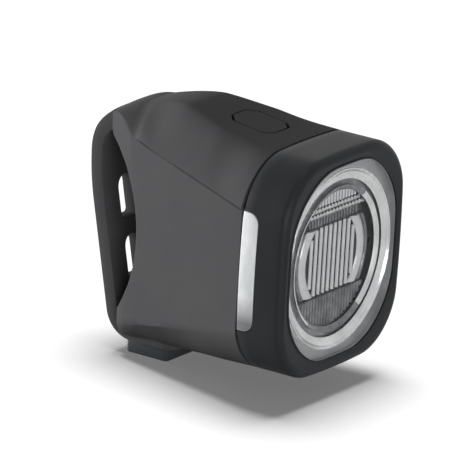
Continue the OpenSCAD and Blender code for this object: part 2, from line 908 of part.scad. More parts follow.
module tact_switch() {
    low = board_z + board_t + seat_gap;
    color("#3f4144")
        difference() {
            translate([0, button_y, low])
                linear_extrude(switch_h)
                    rounded_rect(switch_w, switch_w, 0.4);
            translate([0, button_y, low + 0.6])
                cylinder(r = stem_r + seat_gap, h = switch_h);
        }
}

module switch_stem() {
    low = board_z + board_t + seat_gap + 0.6 + switch_travel + seat_gap;
    color("#c9a23a")
        translate([0, button_y, low])
            cylinder(r = stem_r, h = stem_top - low);
}

// Printed circuit board with a few packages on its upper side
module circuit_board(z, from, to, parts) {
    translate([-board_w / 2, from, z])
        cube([board_w, to - from, board_t]);
    for (p = parts)
        translate([p[0], p[1], z + board_t])
            linear_extrude(p[4])
                square([p[2], p[3]], center = true);
}

control_y0 = fin_y + fin_h + 0.6;
control_y1 = body_y + body_len * 0.66;

module control_board() {
    from = fin_y + free_gap;
    mid = mix(control_y0, control_y1, 0.6);
    far = mix(control_y0, control_y1, 0.85);
    color("#1f5a37")
        circuit_board(board_z, from, control_y1, [
            [-board_w / 4, mid, chip_w, chip_w, chip_h],
            [board_w / 4, mid, chip_w * 0.75, chip_w * 0.75, chip_h],
            [board_w / 5, far, chip_w * 1.2, chip_w * 0.6, chip_h],
            [-board_w / 4, far, chip_w / 2, chip_w / 3, chip_h / 2]
        ]);
}

module charge_board() {
    color("#1f5a37")
        circuit_board(charge_board_z, control_y0, control_y1 - 3, []);
}

module battery_cell() {
    color("#7d8c9a")
        translate([0, cell_y + cell_d / 2, cell_low])
            linear_extrude(cell_h)
                rounded_rect(cell_w, cell_d, 2);
}

module battery_pads() {
    pad_w = cell_w * 0.7;
    pad_h = cell_h * 0.5;
    rear_y = cell_y + cell_d + seat_gap;
    wall_y = seat_y - shell_in - seat_gap;
    color("#4a4a4a") {
        translate([-pad_w / 2, foam_y, cell_low + pad_h / 2])
            cube([pad_w, foam_t, pad_h]);
        translate([-pad_w / 2, rear_y, cell_low + pad_h / 2])
            cube([pad_w, wall_y - rear_y, pad_h]);
    }
}

// Metal shell with its tongue, mouth down
module charge_port() {
    tongue_w = 6.7;
    tongue_t = 0.7;
    color("#b5b8bc")
        translate([0, port_y, port_mouth]) {
            difference() {
                linear_extrude(port_h - seat_gap)
                    rounded_rect(port_w, port_d, 1.2);
                translate([0, 0, -over])
                    linear_extrude(port_h - 1.2 + over)
                        rounded_rect(port_w - 2 * port_wall, port_d - 2 * port_wall, 1);
            }
            translate([-tongue_w / 2, -tongue_t / 2, 1])
                cube([tongue_w, tongue_t, port_h - 1.6]);
        }
}

// Flap in the belly: a flat cover, a plug behind it and a pull lip at its rear edge
module port_cover() {
    color("#2e2f30")
        at_port() {
            linear_extrude(cover_t)
                rounded_rect(cover_w, cover_len, cover_r);
            translate([0, 0, cover_t - seat_gap])
                linear_extrude(plug_h - free_gap)
                    rounded_rect(plug_w, plug_len, 1.2);
        }
}

// Insulated lead swept along its route
module lead(route) {
    sides = 8;
    n = len(route);
    dirs = [for (i = [0:n - 1]) let (d = route[min(i + 1, n - 1)] - route[max(i - 1, 0)]) d / norm(d)];
    points = [for (i = [0:n - 1])
        let (
            d = dirs[i],
            u = cross(d, [0, 1, 0.02]) / norm(cross(d, [0, 1, 0.02])),
            v = cross(d, u)
        )
        for (k = [0:sides - 1]) let (t = 360 * k / sides)
            route[i] + lead_d / 2 * (u * cos(t) + v * sin(t))];
    faces = [for (i = [0:n - 2]) for (k = [0:sides - 1])
        let (a = i * sides, b = a + sides, j = (k + 1) % sides)
        each [[a + k, b + j, a + j], [a + k, b + k, b + j]]];
    caps = [[for (k = [0:sides - 1]) k], [for (k = [sides - 1:-1:0]) (n - 1) * sides + k]];
    polyhedron(points, concat(faces, caps));
}

// Pair of leads from the emitter board over the heat spreader to the control board
module led_leads() {
    start_z = led_board_r - 1.5 * lead_d;
    high_z = board_z + board_t + 1.4 * lead_d;
    near_y = led_board_y - lead_d / 2;
    end_y = fin_y + free_gap + lead_d;
    lead_x = switch_w / 2 + 1.5 * lead_d;
    color("#b03a30")
        for (side = [-1, 1])
            lead([for (p = [
                [near_y, start_z], [near_y - lead_d / 2, start_z + 1.5 * lead_d], [near_y, high_z - 1.5 * lead_d],
                [near_y + lead_d, high_z], [end_y - lead_d / 2, high_z], [end_y, high_z - 0.8 * lead_d]
            ]) [side * lead_x, p[0], p[1]]]);
}

// Pair of leads from the charging board up beside the battery to the control board
module charge_leads() {
    lead_x = cell_w / 2 + lead_d;
    first_y = fin_y + boss_len + lead_d;
    low = charge_board_z + board_t / 2 + slip_gap;
    high = board_z + board_t / 2 + slip_gap;
    edge = board_w / 2 + lead_d / 4;
    color("#2c2c2c")
        for (y = [first_y, first_y + 1.5 * lead_d])
            lead([
                [edge, y, low], [lead_x - lead_d / 2, y, low + lead_d / 10], [lead_x, y, low + lead_d],
                [lead_x, y, high - lead_d], [lead_x - lead_d / 2, y, high - lead_d / 10], [edge, y, high]
            ]);
}

module strap_hook() {
    head_r = 0.7;
    color("#1d1e20")
        difference() {
            union() {
                translate([0, hook_y0 + hook_len / 2, hook_bottom])
                    linear_extrude(hook_h)
                        rounded_rect(hook_w, hook_len, head_r);
                translate([0, neck_y, hook_top - hook_h / 2])
                    linear_extrude(floor_z - seat_gap - hook_top + hook_h / 2)
                        rounded_rect(neck_w, neck_len, 0.8);
            }
            translate([0, neck_y, hook_top])
                cylinder(r = screw_r + seat_gap, h = bezel_h);
        }
}

module hook_screw() {
    color("#b9bcc0") {
        translate([0, neck_y, inner_floor_z + seat_gap])
            cylinder(r = screw_head_r, h = screw_head_h);
        translate([0, neck_y, hook_top + 0.6])
            cylinder(r = screw_r, h = inner_floor_z + screw_head_h / 2 - hook_top - 0.6);
    }
}

// Strap outline in Y and Z, from its root over the crown and round the belly's corner
function strap_outline() =
    let (
        out_angle = acos((root_y - crown_y) / crown_r),
        in_angle = acos((root_y - crown_in_y) / crown_in_r)
    )
    concat(
        arc(crown_y, crown_axis_z, crown_r, out_angle, 0, 10),
        arc(bend_y, crown_axis_z, bend_r, 0, -strap_lean, 4),
        arc(turn_y, -turn_z, turn_r, -strap_lean, -90, 10),
        arc(turn_y, -turn_z, turn_r - strap_t, -90, -strap_lean, 10),
        arc(bend_y, crown_axis_z, bend_r - strap_t, -strap_lean, 0, 4),
        arc(crown_in_y, crown_axis_z, crown_in_r, 0, in_angle, 8)
    );

// Hole with a round top and a flat lower edge
module strap_hole(z) {
    translate([0, seat_y, z])
        along_y(strap_back_y - seat_y + over) {
            translate([-hole_w / 2, 0])
                square([hole_w, hole_h - hole_w / 2]);
            translate([0, hole_h - hole_w / 2])
                circle(hole_w / 2);
        }
}

module strap_band() {
    color("#2a2b2c")
        difference() {
            across_x(strap_w)
                polygon(strap_outline());
            for (i = [0, 1])
                strap_hole(hole_z - i * hole_pitch);
        }
}

module strap_end() {
    slot_len = neck_len + 3;
    slot_w = neck_w + 1.6;
    tip_r = 3;
    color("#2a2b2c")
        translate([0, 0, strap_low])
            linear_extrude(strap_t)
                difference() {
                    union() {
                        translate([-strap_w / 2, tail_y + tip_r])
                            square([strap_w, strap_end_len - tip_r]);
                        translate([0, tail_y + tip_r])
                            rounded_rect(strap_w, 2 * tip_r, tip_r - 0.1);
                    }
                    translate([0, neck_y])
                        rounded_rect(slot_w, slot_len, 1.4);
                }
}

// Puts the handlebar's axis on the origin
module placed() {
    translate([0, -bar_y, -seat_z])
        children();
}

placed() front_bezel();
placed() cover_lens();
placed() lens_gasket();
placed() optic_lens();
placed() reflector();
placed() led_emitter();
placed() led_board();
placed() led_board_screws();
placed() heat_sink();
placed() heat_sink_screws();
placed() side_window(-1);  // side_window_right
placed() side_window(1);  // side_window_left
placed() body_gasket();
placed() inner_shell();
placed() silicone_jacket();
placed() mode_button();
placed() button_plunger();
placed() tact_switch();
placed() switch_stem();
placed() control_board();
placed() led_leads();
placed() battery_cell();
placed() battery_pads();
placed() charge_board();
placed() charge_port();
placed() charge_leads();
placed() port_cover();
placed() strap_hook();
placed() hook_screw();
placed() strap_band();
placed() strap_end();
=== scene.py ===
"""Compact bicycle headlight with a silicone strap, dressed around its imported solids.

Sizes are in millimetres in the light's own frame: the origin is the centre of the front face, +Y runs to the rear and
+Z is up. Each finished mesh is then moved to the row frame, in metres, whose origin is the handlebar's axis.
"""

import json
import logging
import math
from dataclasses import dataclass, field
from enum import Enum
from typing import Callable, Sequence

import bmesh
import bpy
import numpy as np
from mathutils import Matrix, Vector
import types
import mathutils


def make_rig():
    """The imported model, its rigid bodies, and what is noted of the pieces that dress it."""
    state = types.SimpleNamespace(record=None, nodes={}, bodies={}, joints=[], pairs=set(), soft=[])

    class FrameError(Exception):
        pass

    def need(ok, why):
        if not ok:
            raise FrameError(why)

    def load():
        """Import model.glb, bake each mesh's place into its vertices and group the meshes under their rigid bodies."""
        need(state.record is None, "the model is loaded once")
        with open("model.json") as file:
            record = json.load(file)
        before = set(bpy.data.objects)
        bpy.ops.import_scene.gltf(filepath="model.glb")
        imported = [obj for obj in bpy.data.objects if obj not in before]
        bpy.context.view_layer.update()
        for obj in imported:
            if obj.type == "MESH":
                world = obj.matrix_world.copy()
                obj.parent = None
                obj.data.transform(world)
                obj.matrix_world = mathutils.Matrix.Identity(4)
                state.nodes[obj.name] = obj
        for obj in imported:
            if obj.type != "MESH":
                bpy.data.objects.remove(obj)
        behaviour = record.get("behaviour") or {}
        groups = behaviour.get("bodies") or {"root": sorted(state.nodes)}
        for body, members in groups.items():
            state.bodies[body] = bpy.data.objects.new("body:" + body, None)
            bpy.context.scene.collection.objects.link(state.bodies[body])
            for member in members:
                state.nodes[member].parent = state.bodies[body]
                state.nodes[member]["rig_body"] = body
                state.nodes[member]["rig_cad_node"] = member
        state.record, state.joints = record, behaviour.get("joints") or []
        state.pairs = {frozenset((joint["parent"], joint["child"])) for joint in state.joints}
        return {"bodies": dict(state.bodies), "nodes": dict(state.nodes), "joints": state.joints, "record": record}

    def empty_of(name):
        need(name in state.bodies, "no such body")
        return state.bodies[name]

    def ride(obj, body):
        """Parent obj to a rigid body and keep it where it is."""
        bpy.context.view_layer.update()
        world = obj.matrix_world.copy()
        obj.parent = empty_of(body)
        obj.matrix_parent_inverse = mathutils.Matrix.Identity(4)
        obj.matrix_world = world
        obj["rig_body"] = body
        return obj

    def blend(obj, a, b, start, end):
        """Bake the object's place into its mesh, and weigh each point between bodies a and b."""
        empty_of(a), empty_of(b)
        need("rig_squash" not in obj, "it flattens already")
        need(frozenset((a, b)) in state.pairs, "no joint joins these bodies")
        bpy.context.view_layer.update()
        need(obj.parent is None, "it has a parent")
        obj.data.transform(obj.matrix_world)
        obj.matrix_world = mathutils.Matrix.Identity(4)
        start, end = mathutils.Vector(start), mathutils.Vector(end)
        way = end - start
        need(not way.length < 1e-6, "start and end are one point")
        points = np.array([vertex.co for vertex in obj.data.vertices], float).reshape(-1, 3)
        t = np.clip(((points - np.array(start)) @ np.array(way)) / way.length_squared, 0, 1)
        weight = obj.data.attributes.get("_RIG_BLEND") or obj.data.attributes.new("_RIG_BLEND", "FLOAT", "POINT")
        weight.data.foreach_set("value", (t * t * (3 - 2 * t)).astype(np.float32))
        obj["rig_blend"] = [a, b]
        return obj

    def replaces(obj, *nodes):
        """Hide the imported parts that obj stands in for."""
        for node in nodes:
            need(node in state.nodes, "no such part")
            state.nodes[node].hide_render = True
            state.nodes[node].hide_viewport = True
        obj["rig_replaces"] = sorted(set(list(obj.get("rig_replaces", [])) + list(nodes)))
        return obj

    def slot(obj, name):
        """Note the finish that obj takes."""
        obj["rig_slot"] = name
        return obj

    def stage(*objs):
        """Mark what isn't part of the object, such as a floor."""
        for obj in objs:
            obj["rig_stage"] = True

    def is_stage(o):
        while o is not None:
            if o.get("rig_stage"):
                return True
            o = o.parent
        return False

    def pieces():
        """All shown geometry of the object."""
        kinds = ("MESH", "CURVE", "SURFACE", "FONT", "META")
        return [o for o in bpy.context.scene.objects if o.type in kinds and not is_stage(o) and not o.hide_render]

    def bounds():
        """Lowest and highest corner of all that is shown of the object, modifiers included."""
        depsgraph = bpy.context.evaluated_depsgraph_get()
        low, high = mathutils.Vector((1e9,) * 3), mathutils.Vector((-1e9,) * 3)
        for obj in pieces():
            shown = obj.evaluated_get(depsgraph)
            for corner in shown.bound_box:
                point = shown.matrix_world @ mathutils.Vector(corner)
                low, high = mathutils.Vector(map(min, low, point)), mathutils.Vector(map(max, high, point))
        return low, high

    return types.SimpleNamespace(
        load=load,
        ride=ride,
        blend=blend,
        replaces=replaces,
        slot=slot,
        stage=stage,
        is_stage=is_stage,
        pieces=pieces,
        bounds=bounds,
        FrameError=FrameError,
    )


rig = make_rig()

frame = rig.load()
cad_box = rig.bounds()
log = logging.getLogger("headlight")

Point2 = tuple[float, float]
Point3 = tuple[float, float, float]
Section = tuple[float, float, float, float, float]

BAR_PLACE = Vector((0.0, 54.8, -2.8))
TO_ROW = Matrix.Scale(0.001, 4) @ Matrix.Translation(-BAR_PLACE)


def row(x: float, y: float, z: float) -> Vector:
    """Point of the light's own frame, in the row frame."""
    return TO_ROW @ Vector((x, y, z))


def mix(a: float, b: float, t: float) -> float:
    """Value between a and b."""
    return a + (b - a) * t


def clamp01(t: float) -> float:
    """t held between 0 and 1."""
    return max(0.0, min(1.0, t))


def smooth(t: float) -> float:
    """Soft step from 0 to 1."""
    t = clamp01(t)
    return t * t * (3 - 2 * t)


def arc(cx: float, cy: float, r: float, start: float, end: float, steps: int) -> list[Point2]:
    """Points along an arc.

    Args:
        cx: First coordinate of its centre.
        cy: Second coordinate of its centre.
        r: Radius.
        start: Angle of its first point, in degrees.
        end: Angle of its last point, in degrees.
        steps: Steps between them.

    Returns:
        One point more than there are steps.
    """
    turns = [math.radians(mix(start, end, i / steps)) for i in range(steps + 1)]
    return [(cx + r * math.cos(t), cy + r * math.sin(t)) for t in turns]


class Body(Enum):
    """Bodies of the light that pieces ride on."""

    LIGHT = "light"
    BUTTON = "button"
    STEM = "stem"
    STRAP = "strap"
    COVER = "cover"


class Bool(Enum):
    """Ways of combining two solids."""

    CUT = "DIFFERENCE"
    COMMON = "INTERSECT"
    JOIN = "UNION"


def linear(code: str) -> tuple[float, float, float, float]:
    """Linear colour of an sRGB hex code.

    Args:
        code: Colour such as "#3c3c3e".

    Returns:
        Red, green, blue and alpha.
    """
    parts = [int(code[i : i + 2], 16) / 255 for i in (1, 3, 5)]
    values = [c / 12.92 if c <= 0.04045 else ((c + 0.055) / 1.055) ** 2.4 for c in parts]
    return (values[0], values[1], values[2], 1.0)


def add(tree: bpy.types.NodeTree, kind: str, settings: dict[str | int, object] | None = None) -> bpy.types.Node:
    """Adds a node with its settings and links.

    Args:
        tree: Tree that takes the node.
        kind: Node type.
        settings: Attributes by name, and values or linked sockets by an input's name or index.

    Returns:
        The new node.
    """
    node = tree.nodes.new(kind)
    for key, value in (settings or {}).items():
        if isinstance(key, str) and hasattr(node, key):
            setattr(node, key, value)
        elif isinstance(value, bpy.types.NodeSocket):
            tree.links.new(value, node.inputs[key])
        else:
            node.inputs[key].default_value = value
    return node


def mixed(tree: bpy.types.NodeTree, share: bpy.types.NodeSocket, base: bpy.types.NodeSocket,
          over: str) -> bpy.types.NodeSocket:
    """Colour that goes from a base to another tone.

    Args:
        tree: Tree that takes the node.
        share: Share of the other tone.
        base: Base colour.
        over: The other tone, as an sRGB hex code.

    Returns:
        The mixed colour.
    """
    node = add(tree, "ShaderNodeMix", {"data_type": "RGBA", 0: share, 6: base, 7: linear(over)})
    return node.outputs[2]


# Levels of the cloud noise between which the colour and the gloss change
CLOUD_SPAN: Point2 = (0.3, 0.72)
GLOSS_SPAN: Point2 = (0.3, 0.7)


@dataclass(frozen=True)
class Finish:
    """Surface with a clouded colour, a fine grain and a slightly uneven gloss, and where given a painted shade that
    darkens it towards the bottom and a painted glow.

    Colours are sRGB hex codes, sizes are millimetres.
    """

    name: str
    dark: str
    light: str
    roughness: float
    roughness_spread: float = 0.06
    metallic: float = 0.0
    specular: float = 0.5
    coat: float = 0.0
    alpha: float = 1.0
    cloud_mm: float = 9.0
    grain_mm: float = 0.35
    grain_depth_mm: float = 0.012
    stretch: Point3 = (1.0, 1.0, 1.0)
    speck: str | None = None
    speck_mm: float = 0.7
    # Painted shade: colour that the surface darkens to towards the bottom, between two heights
    low_painted_shade: str | None = None
    low_painted_shade_mm: Point2 = (0.0, 1.0)
    # Painted glow: strength with which the surface emits its light colour
    glow: float = 0.0

    def material(self) -> bpy.types.Material:
        """Builds the finish, or gives the one already built."""
        found = bpy.data.materials.get(self.name)
        if found:
            return found
        made = bpy.data.materials.new(self.name)
        made.use_nodes = True
        tree = made.node_tree
        tree.nodes.clear()
        place = add(tree, "ShaderNodeTexCoord")
        spread = add(tree, "ShaderNodeMapping", {"Vector": place.outputs["Object"], "Scale": self.stretch})
        cloud = add(tree, "ShaderNodeTexNoise", {
            "Vector": spread.outputs[0], "Scale": 1000 / self.cloud_mm, "Detail": 4.0, "Roughness": 0.6})
        grain = add(tree, "ShaderNodeTexNoise", {
            "Vector": spread.outputs[0], "Scale": 1000 / self.grain_mm, "Detail": 2.0, "Roughness": 0.5})
        tone = add(tree, "ShaderNodeValToRGB", {"Fac": cloud.outputs["Fac"]})
        for stop, place_on, code in zip(tone.color_ramp.elements, CLOUD_SPAN, (self.dark, self.light)):
            stop.position = place_on
            stop.color = linear(code)
        colour = tone.outputs["Color"]
        if self.speck:
            spots = add(tree, "ShaderNodeTexVoronoi", {
                "Vector": place.outputs["Object"], "Scale": 1000 / self.speck_mm})
            mask = add(tree, "ShaderNodeMapRange", {
                "Value": spots.outputs["Distance"], "From Min": 0.1, "From Max": 0.06, "To Max": 0.5})
            colour = mixed(tree, mask.outputs[0], colour, self.speck)
        # Painted shade: the colour darkens towards the bottom, between the two heights
        if self.low_painted_shade:
            split = add(tree, "ShaderNodeSeparateXYZ", {"Vector": place.outputs["Object"]})
            depth = add(tree, "ShaderNodeMapRange", {
                "Value": split.outputs["Z"], "From Min": self.low_painted_shade_mm[1] / 1000, "From Max": self.low_painted_shade_mm[0] / 1000})
            colour = mixed(tree, depth.outputs[0], colour, self.low_painted_shade)
        gloss = add(tree, "ShaderNodeMapRange", {
            "Value": cloud.outputs["Fac"], "From Min": GLOSS_SPAN[0], "From Max": GLOSS_SPAN[1],
            "To Min": max(0.02, self.roughness - self.roughness_spread),
            "To Max": min(1.0, self.roughness + self.roughness_spread)})
        relief = add(tree, "ShaderNodeBump", {
            "Height": grain.outputs["Fac"], "Distance": self.grain_depth_mm / 1000, "Strength": 0.8})
        skin = add(tree, "ShaderNodeBsdfPrincipled", {
            "Base Color": colour, "Roughness": gloss.outputs[0], "Normal": relief.outputs[0],
            "Metallic": self.metallic, "Specular IOR Level": self.specular, "Coat Weight": self.coat,
            "Coat Roughness": 0.08, "Alpha": self.alpha})
        # Painted glow: the surface emits its light colour
        if self.glow:
            skin.inputs["Emission Color"].default_value = linear(self.light)
            skin.inputs["Emission Strength"].default_value = self.glow
        add(tree, "ShaderNodeOutputMaterial", {"Surface": skin.outputs[0]})
        made.diffuse_color = linear(self.light)
        return made


# Moulded silicone rubber: dull and dark grey, with a fine spark-eroded texture
SILICONE = Finish("moulded_silicone", "#424244", "#4a4a4b", 0.78, specular=0.07, grain_mm=0.3,
                  grain_depth_mm=0.01, cloud_mm=14)
# Moulded nylon of the bezel: darker and smoother, with a satin gloss that shows soft lights as broad streaks
BEZEL = Finish("satin_nylon", "#222325", "#28292b", 0.44, specular=0.1, grain_mm=0.25, grain_depth_mm=0.004,
               cloud_mm=18)
# Textured nylon of the hook and the inner shell: dull black with a visible grain
SHELL = Finish("textured_nylon", "#343537", "#3f4042", 0.6, specular=0.12, grain_mm=0.4, grain_depth_mm=0.02)
# Foamed seal: nearly black and dull
SEAL = Finish("closed_cell_seal", "#0d0d0e", "#151516", 0.8, specular=0.25, grain_mm=0.4)
# Polished polycarbonate: clear, seen mainly by its reflections
CLEAR = Finish("polished_polycarbonate", "#2a2e31", "#34393c", 0.05, 0.02, specular=0.6, alpha=0.1,
               grain_depth_mm=0.0002)
# Milky polycarbonate of the side windows: clear with a whitish haze, and darkened towards its lower end by a painted
# shade
WINDOW = Finish("milky_polycarbonate", "#ccd0d2", "#f6f7f8", 0.16, specular=0.5, coat=0.5, cloud_mm=3.6,
                stretch=(1.0, 1.0, 0.35), grain_depth_mm=0.001, low_painted_shade="#66696c", low_painted_shade_mm=(-6.6, -1.6))
# Vacuum metallised plastic: bright mirror with a faint haze
MIRROR = Finish("metallised_mirror", "#cfd0d1", "#ebecec", 0.2, 0.06, metallic=0.85, cloud_mm=5, grain_depth_mm=0.001)
# The same coat on the frame around the optic, hazier and greyer
FRAME = Finish("metallised_frame", "#97989a", "#b3b4b5", 0.34, metallic=0.4, cloud_mm=8, grain_depth_mm=0.004)
# Clear acrylic flutes over the mirror, coloured near white as painted light on their crests
FLUTE_PAINTED_LIGHT = Finish("acrylic_flute_painted_light", "#e2e4e6", "#f4f5f6", 0.12, 0.03, specular=0.6, coat=0.6, cloud_mm=4,
               grain_depth_mm=0.0005)
# Acrylic coloured nearly black as painted shade: the floor between the flutes and the groove's outer edge
DEEP_PAINTED_SHADE = Finish("acrylic_painted_deep_shade", "#0e0f10", "#1d1f21", 0.3, specular=0.25, coat=0.1, cloud_mm=3, grain_depth_mm=0.001)
# Acrylic coloured middle grey as painted shade: the groove, the strip above and below, the fine flutes and a band
GREY_PAINTED_SHADE = Finish("acrylic_painted_grey_shade", "#585b5e", "#96999c", 0.18, metallic=0.2, coat=0.4, cloud_mm=3, grain_depth_mm=0.001)
# Zinc plated steel: bright grey with fine drawn lines
STEEL = Finish("zinc_plated_steel", "#a8abae", "#c2c5c8", 0.3, metallic=1.0, grain_mm=0.2, stretch=(1.0, 1.0, 8.0))
# Die cast aluminium: pale grey metal with a soft, sandy gloss
ALUMINIUM = Finish("die_cast_aluminium", "#9b9ea1", "#b3b6b9", 0.42, metallic=1.0, grain_mm=0.3, grain_depth_mm=0.02)
# Phosphor under a clear dome: warm yellow, with a faint painted glow that emits its light colour
PHOSPHOR = Finish("phosphor_dome", "#e0c44e", "#f0da78", 0.2, coat=0.8, cloud_mm=1.5, glow=0.2)
# White solder mask: off-white lacquer
WHITE_MASK = Finish("white_solder_mask", "#dcdcd6", "#ecece8", 0.35, coat=0.3)
# Green solder mask: glossy green lacquer with gold pads
GREEN_MASK = Finish("green_solder_mask", "#123f26", "#1d5a37", 0.3, coat=0.4, cloud_mm=2.0, speck="#b9a25a",
                    speck_mm=1.4)
# Natural acetal moulding: waxy white
NATURAL = Finish("natural_acetal", "#d2d1ca", "#e0dfd8", 0.4)
# Switch moulding: dark grey and smooth
SWITCH = Finish("black_switch_moulding", "#232426", "#303134", 0.45)
# Extruded silicone insulation: soft red
RED_LEAD = Finish("red_silicone_lead", "#8e2018", "#a82a20", 0.5)
# Extruded silicone insulation: soft black
BLACK_LEAD = Finish("black_silicone_lead", "#1c1c1d", "#272728", 0.5)
# Pouch cell foil: crinkled grey metal under a plastic film
FOIL = Finish("pouch_cell_foil", "#8f979e", "#aab1b7", 0.32, metallic=0.8, cloud_mm=4)
# Cut foam tape: dark, open and dull
FOAM = Finish("foam_tape", "#2b2b2b", "#3a3a3a", 0.9, specular=0.2, grain_mm=0.5, grain_depth_mm=0.06)

CAD_FINISHES: dict[str, Finish] = {
    "lens_gasket": SEAL, "reflector": FRAME, "led_emitter": PHOSPHOR, "led_board": WHITE_MASK,
    "led_board_screws": STEEL, "heat_sink": ALUMINIUM, "heat_sink_screws": STEEL, "body_gasket": SEAL,
    "inner_shell": SHELL, "button_plunger": NATURAL, "tact_switch": SWITCH, "switch_stem": NATURAL,
    "control_board": GREEN_MASK, "led_leads": RED_LEAD, "battery_cell": FOIL, "battery_pads": FOAM,
    "charge_board": GREEN_MASK, "charge_port": STEEL, "charge_leads": BLACK_LEAD, "hook_screw": STEEL,
}


def finished(mesh: bpy.types.Mesh, finishes: Sequence[Finish], sharp: float) -> bpy.types.Mesh:
    """Moves a mesh from millimetres to the row frame, with its finishes and smooth shading.

    Args:
        mesh: Mesh in the light's own frame.
        finishes: Finishes in the order of its material numbers.
        sharp: Angle above which an edge stays sharp, in degrees.

    Returns:
        The mesh.
    """
    mesh.transform(TO_ROW)
    for finish in finishes:
        mesh.materials.append(finish.material())
    mesh.shade_smooth()
    mesh.set_sharp_from_angle(angle=math.radians(sharp))
    return mesh


def placed(name: str, data: bpy.types.ID) -> bpy.types.Object:
    """New object at the origin that holds a mesh, a light or a camera."""
    obj = bpy.data.objects.new(name, data)
    bpy.context.scene.collection.objects.link(obj)
    return obj


class Solid:
    """Mesh under construction, in the light's own frame and in millimetres."""

    def __init__(self, points: Sequence[Point3], faces: Sequence[Sequence[int]]) -> None:
        """Keeps points and faces in a new mesh, with its normals turned outwards."""
        self.form = bmesh.new()
        made = [self.form.verts.new(p) for p in points]
        for f in faces:
            if len(set(f)) >= 3:
                try:
                    self.form.faces.new([made[i] for i in dict.fromkeys(f)])
                except ValueError:
                    continue
        bmesh.ops.remove_doubles(self.form, verts=self.form.verts, dist=1e-4)
        bmesh.ops.dissolve_degenerate(self.form, edges=self.form.edges, dist=1e-5)
        bmesh.ops.recalc_face_normals(self.form, faces=self.form.faces)

    @classmethod
    def rings(cls, rings: Sequence[Sequence[Point3]], capped: bool = True) -> "Solid":
        """Skin through closed rings of equal count.

        Args:
            rings: Rings of points.
            capped: Whether the two ends are closed; otherwise the last ring joins the first.

        Returns:
            The skinned solid.
        """
        n, m = len(rings[0]), len(rings)
        points = [p for ring in rings for p in ring]
        faces = []
        for k in range(m if not capped else m - 1):
            a, b = k * n, ((k + 1) % m) * n
            faces += [[a + i, a + (i + 1) % n, b + (i + 1) % n, b + i] for i in range(n)]
        if capped:
            faces += [list(range(n))[::-1], [(m - 1) * n + i for i in range(n)]]
        return cls(points, faces)

    @classmethod
    def prism(cls, outline: Sequence[Point2], low: float, high: float, at: Matrix = Matrix.Identity(4)) -> "Solid":
        """Prism of an outline in X and Y, from low to high along Z, then moved by a matrix."""
        return cls.rings([[tuple(at @ Vector((x, y, z))) for x, y in outline] for z in (low, high)])

    def bevel(self, width: float, segments: int = 3, angle: float = 35.0,
              keep: Callable[[Vector], bool] | None = None) -> "Solid":
        """Rounds the edges that are sharper than an angle.

        Args:
            width: Width of the rounding.
            segments: Facets across it.
            angle: Least angle of a rounded edge, in degrees.
            keep: Test of an edge's middle; only edges that pass are rounded.

        Returns:
            This solid.
        """
        limit = math.radians(angle)
        edges = [e for e in self.form.edges if len(e.link_faces) == 2 and e.calc_face_angle(0) > limit
                 and (keep is None or keep((e.verts[0].co + e.verts[1].co) / 2))]
        bmesh.ops.bevel(self.form, geom=edges, offset=width, segments=segments, profile=0.5, affect="EDGES",
                        clamp_overlap=True)
        return self

    def holder(self, name: str) -> bpy.types.Object:
        """Object at the origin that holds the mesh in millimetres, for combining."""
        mesh = bpy.data.meshes.new(name)
        self.form.to_mesh(mesh)
        return placed(name, mesh)

    def combine(self, others: Sequence["Solid"], way: Bool) -> "Solid":
        """Combines this solid with others.

        Args:
            others: Solids to cut away, keep in common or join.
            way: How to combine them.

        Returns:
            This solid, changed.
        """
        base = self.holder("work_base")
        held = [o.holder("work_tool") for o in others]
        for tool in held:
            step = base.modifiers.new("step", "BOOLEAN")
            step.operation = way.value
            step.solver = "EXACT"
            step.object = tool
        result = bpy.data.meshes.new_from_object(base.evaluated_get(bpy.context.evaluated_depsgraph_get()))
        self.form.clear()
        self.form.from_mesh(result)
        bmesh.ops.remove_doubles(self.form, verts=self.form.verts, dist=2e-4)
        bmesh.ops.dissolve_degenerate(self.form, edges=self.form.edges, dist=1e-4)
        bpy.data.meshes.remove(result)
        for obj in [base, *held]:
            bpy.data.objects.remove(obj)
        return self

    def piece(self, name: str, finish: Finish, sharp: float = 38.0) -> bpy.types.Object:
        """Finished object in the row frame.

        Args:
            name: Name of the piece.
            finish: Its finish.
            sharp: Angle above which an edge stays sharp, in degrees.

        Returns:
            The object, at the origin with its place in its mesh.
        """
        obj = self.holder(name)
        finished(obj.data, [finish], sharp)
        return obj


def quarter_point(hw: float, h: float, r: float, d: float, bow: float, s: float) -> Point2:
    """Point of a rounded outline's quarter, from its side (s 0) to its top (s 1).

    Args:
        hw: Half width.
        h: Half height.
        r: Width of the corner.
        d: Depth of the corner.
        bow: How far the sides bow out.
        s: Place along the quarter.

    Returns:
        x and z.
    """
    a, b = hw - bow, h - bow
    side, corner, top = max(b - d, 0.0), math.pi / 4 * (r + d), max(a - r, 0.0)
    q = s * (side + corner + top)
    if q < side:
        x, z = a, q
    elif q < side + corner:
        t = (q - side) / corner * math.pi / 2
        x, z = a - r + r * math.cos(t), b - d + d * math.sin(t)
    else:
        x, z = a - r - (q - side - corner), b
    return x + bow * (1 - (z / b) ** 2), z + bow * (1 - (x / a) ** 2)


def mirrored(quarter: Sequence[Point2]) -> list[Point2]:
    """Closed outline from one quarter, mirrored in both axes."""
    right_top = list(quarter)
    left_top = [(-x, z) for x, z in reversed(quarter[:-1])]
    left_low = [(-x, -z) for x, z in quarter[1:]]
    right_low = [(x, -z) for x, z in reversed(quarter[1:-1])]
    return right_top + left_top + left_low + right_low


def rounded_rect(w: float, h: float, r: float, steps: int = 6) -> list[Point2]:
    """Outline of a rectangle with round corners, centred on the origin."""
    points = []
    for cx, cy, start in ((1, 1, 0), (-1, 1, 90), (-1, -1, 180), (1, -1, 270)):
        points += arc(cx * (w / 2 - r), cy * (h / 2 - r), r, start, start + 90, steps)
    return points


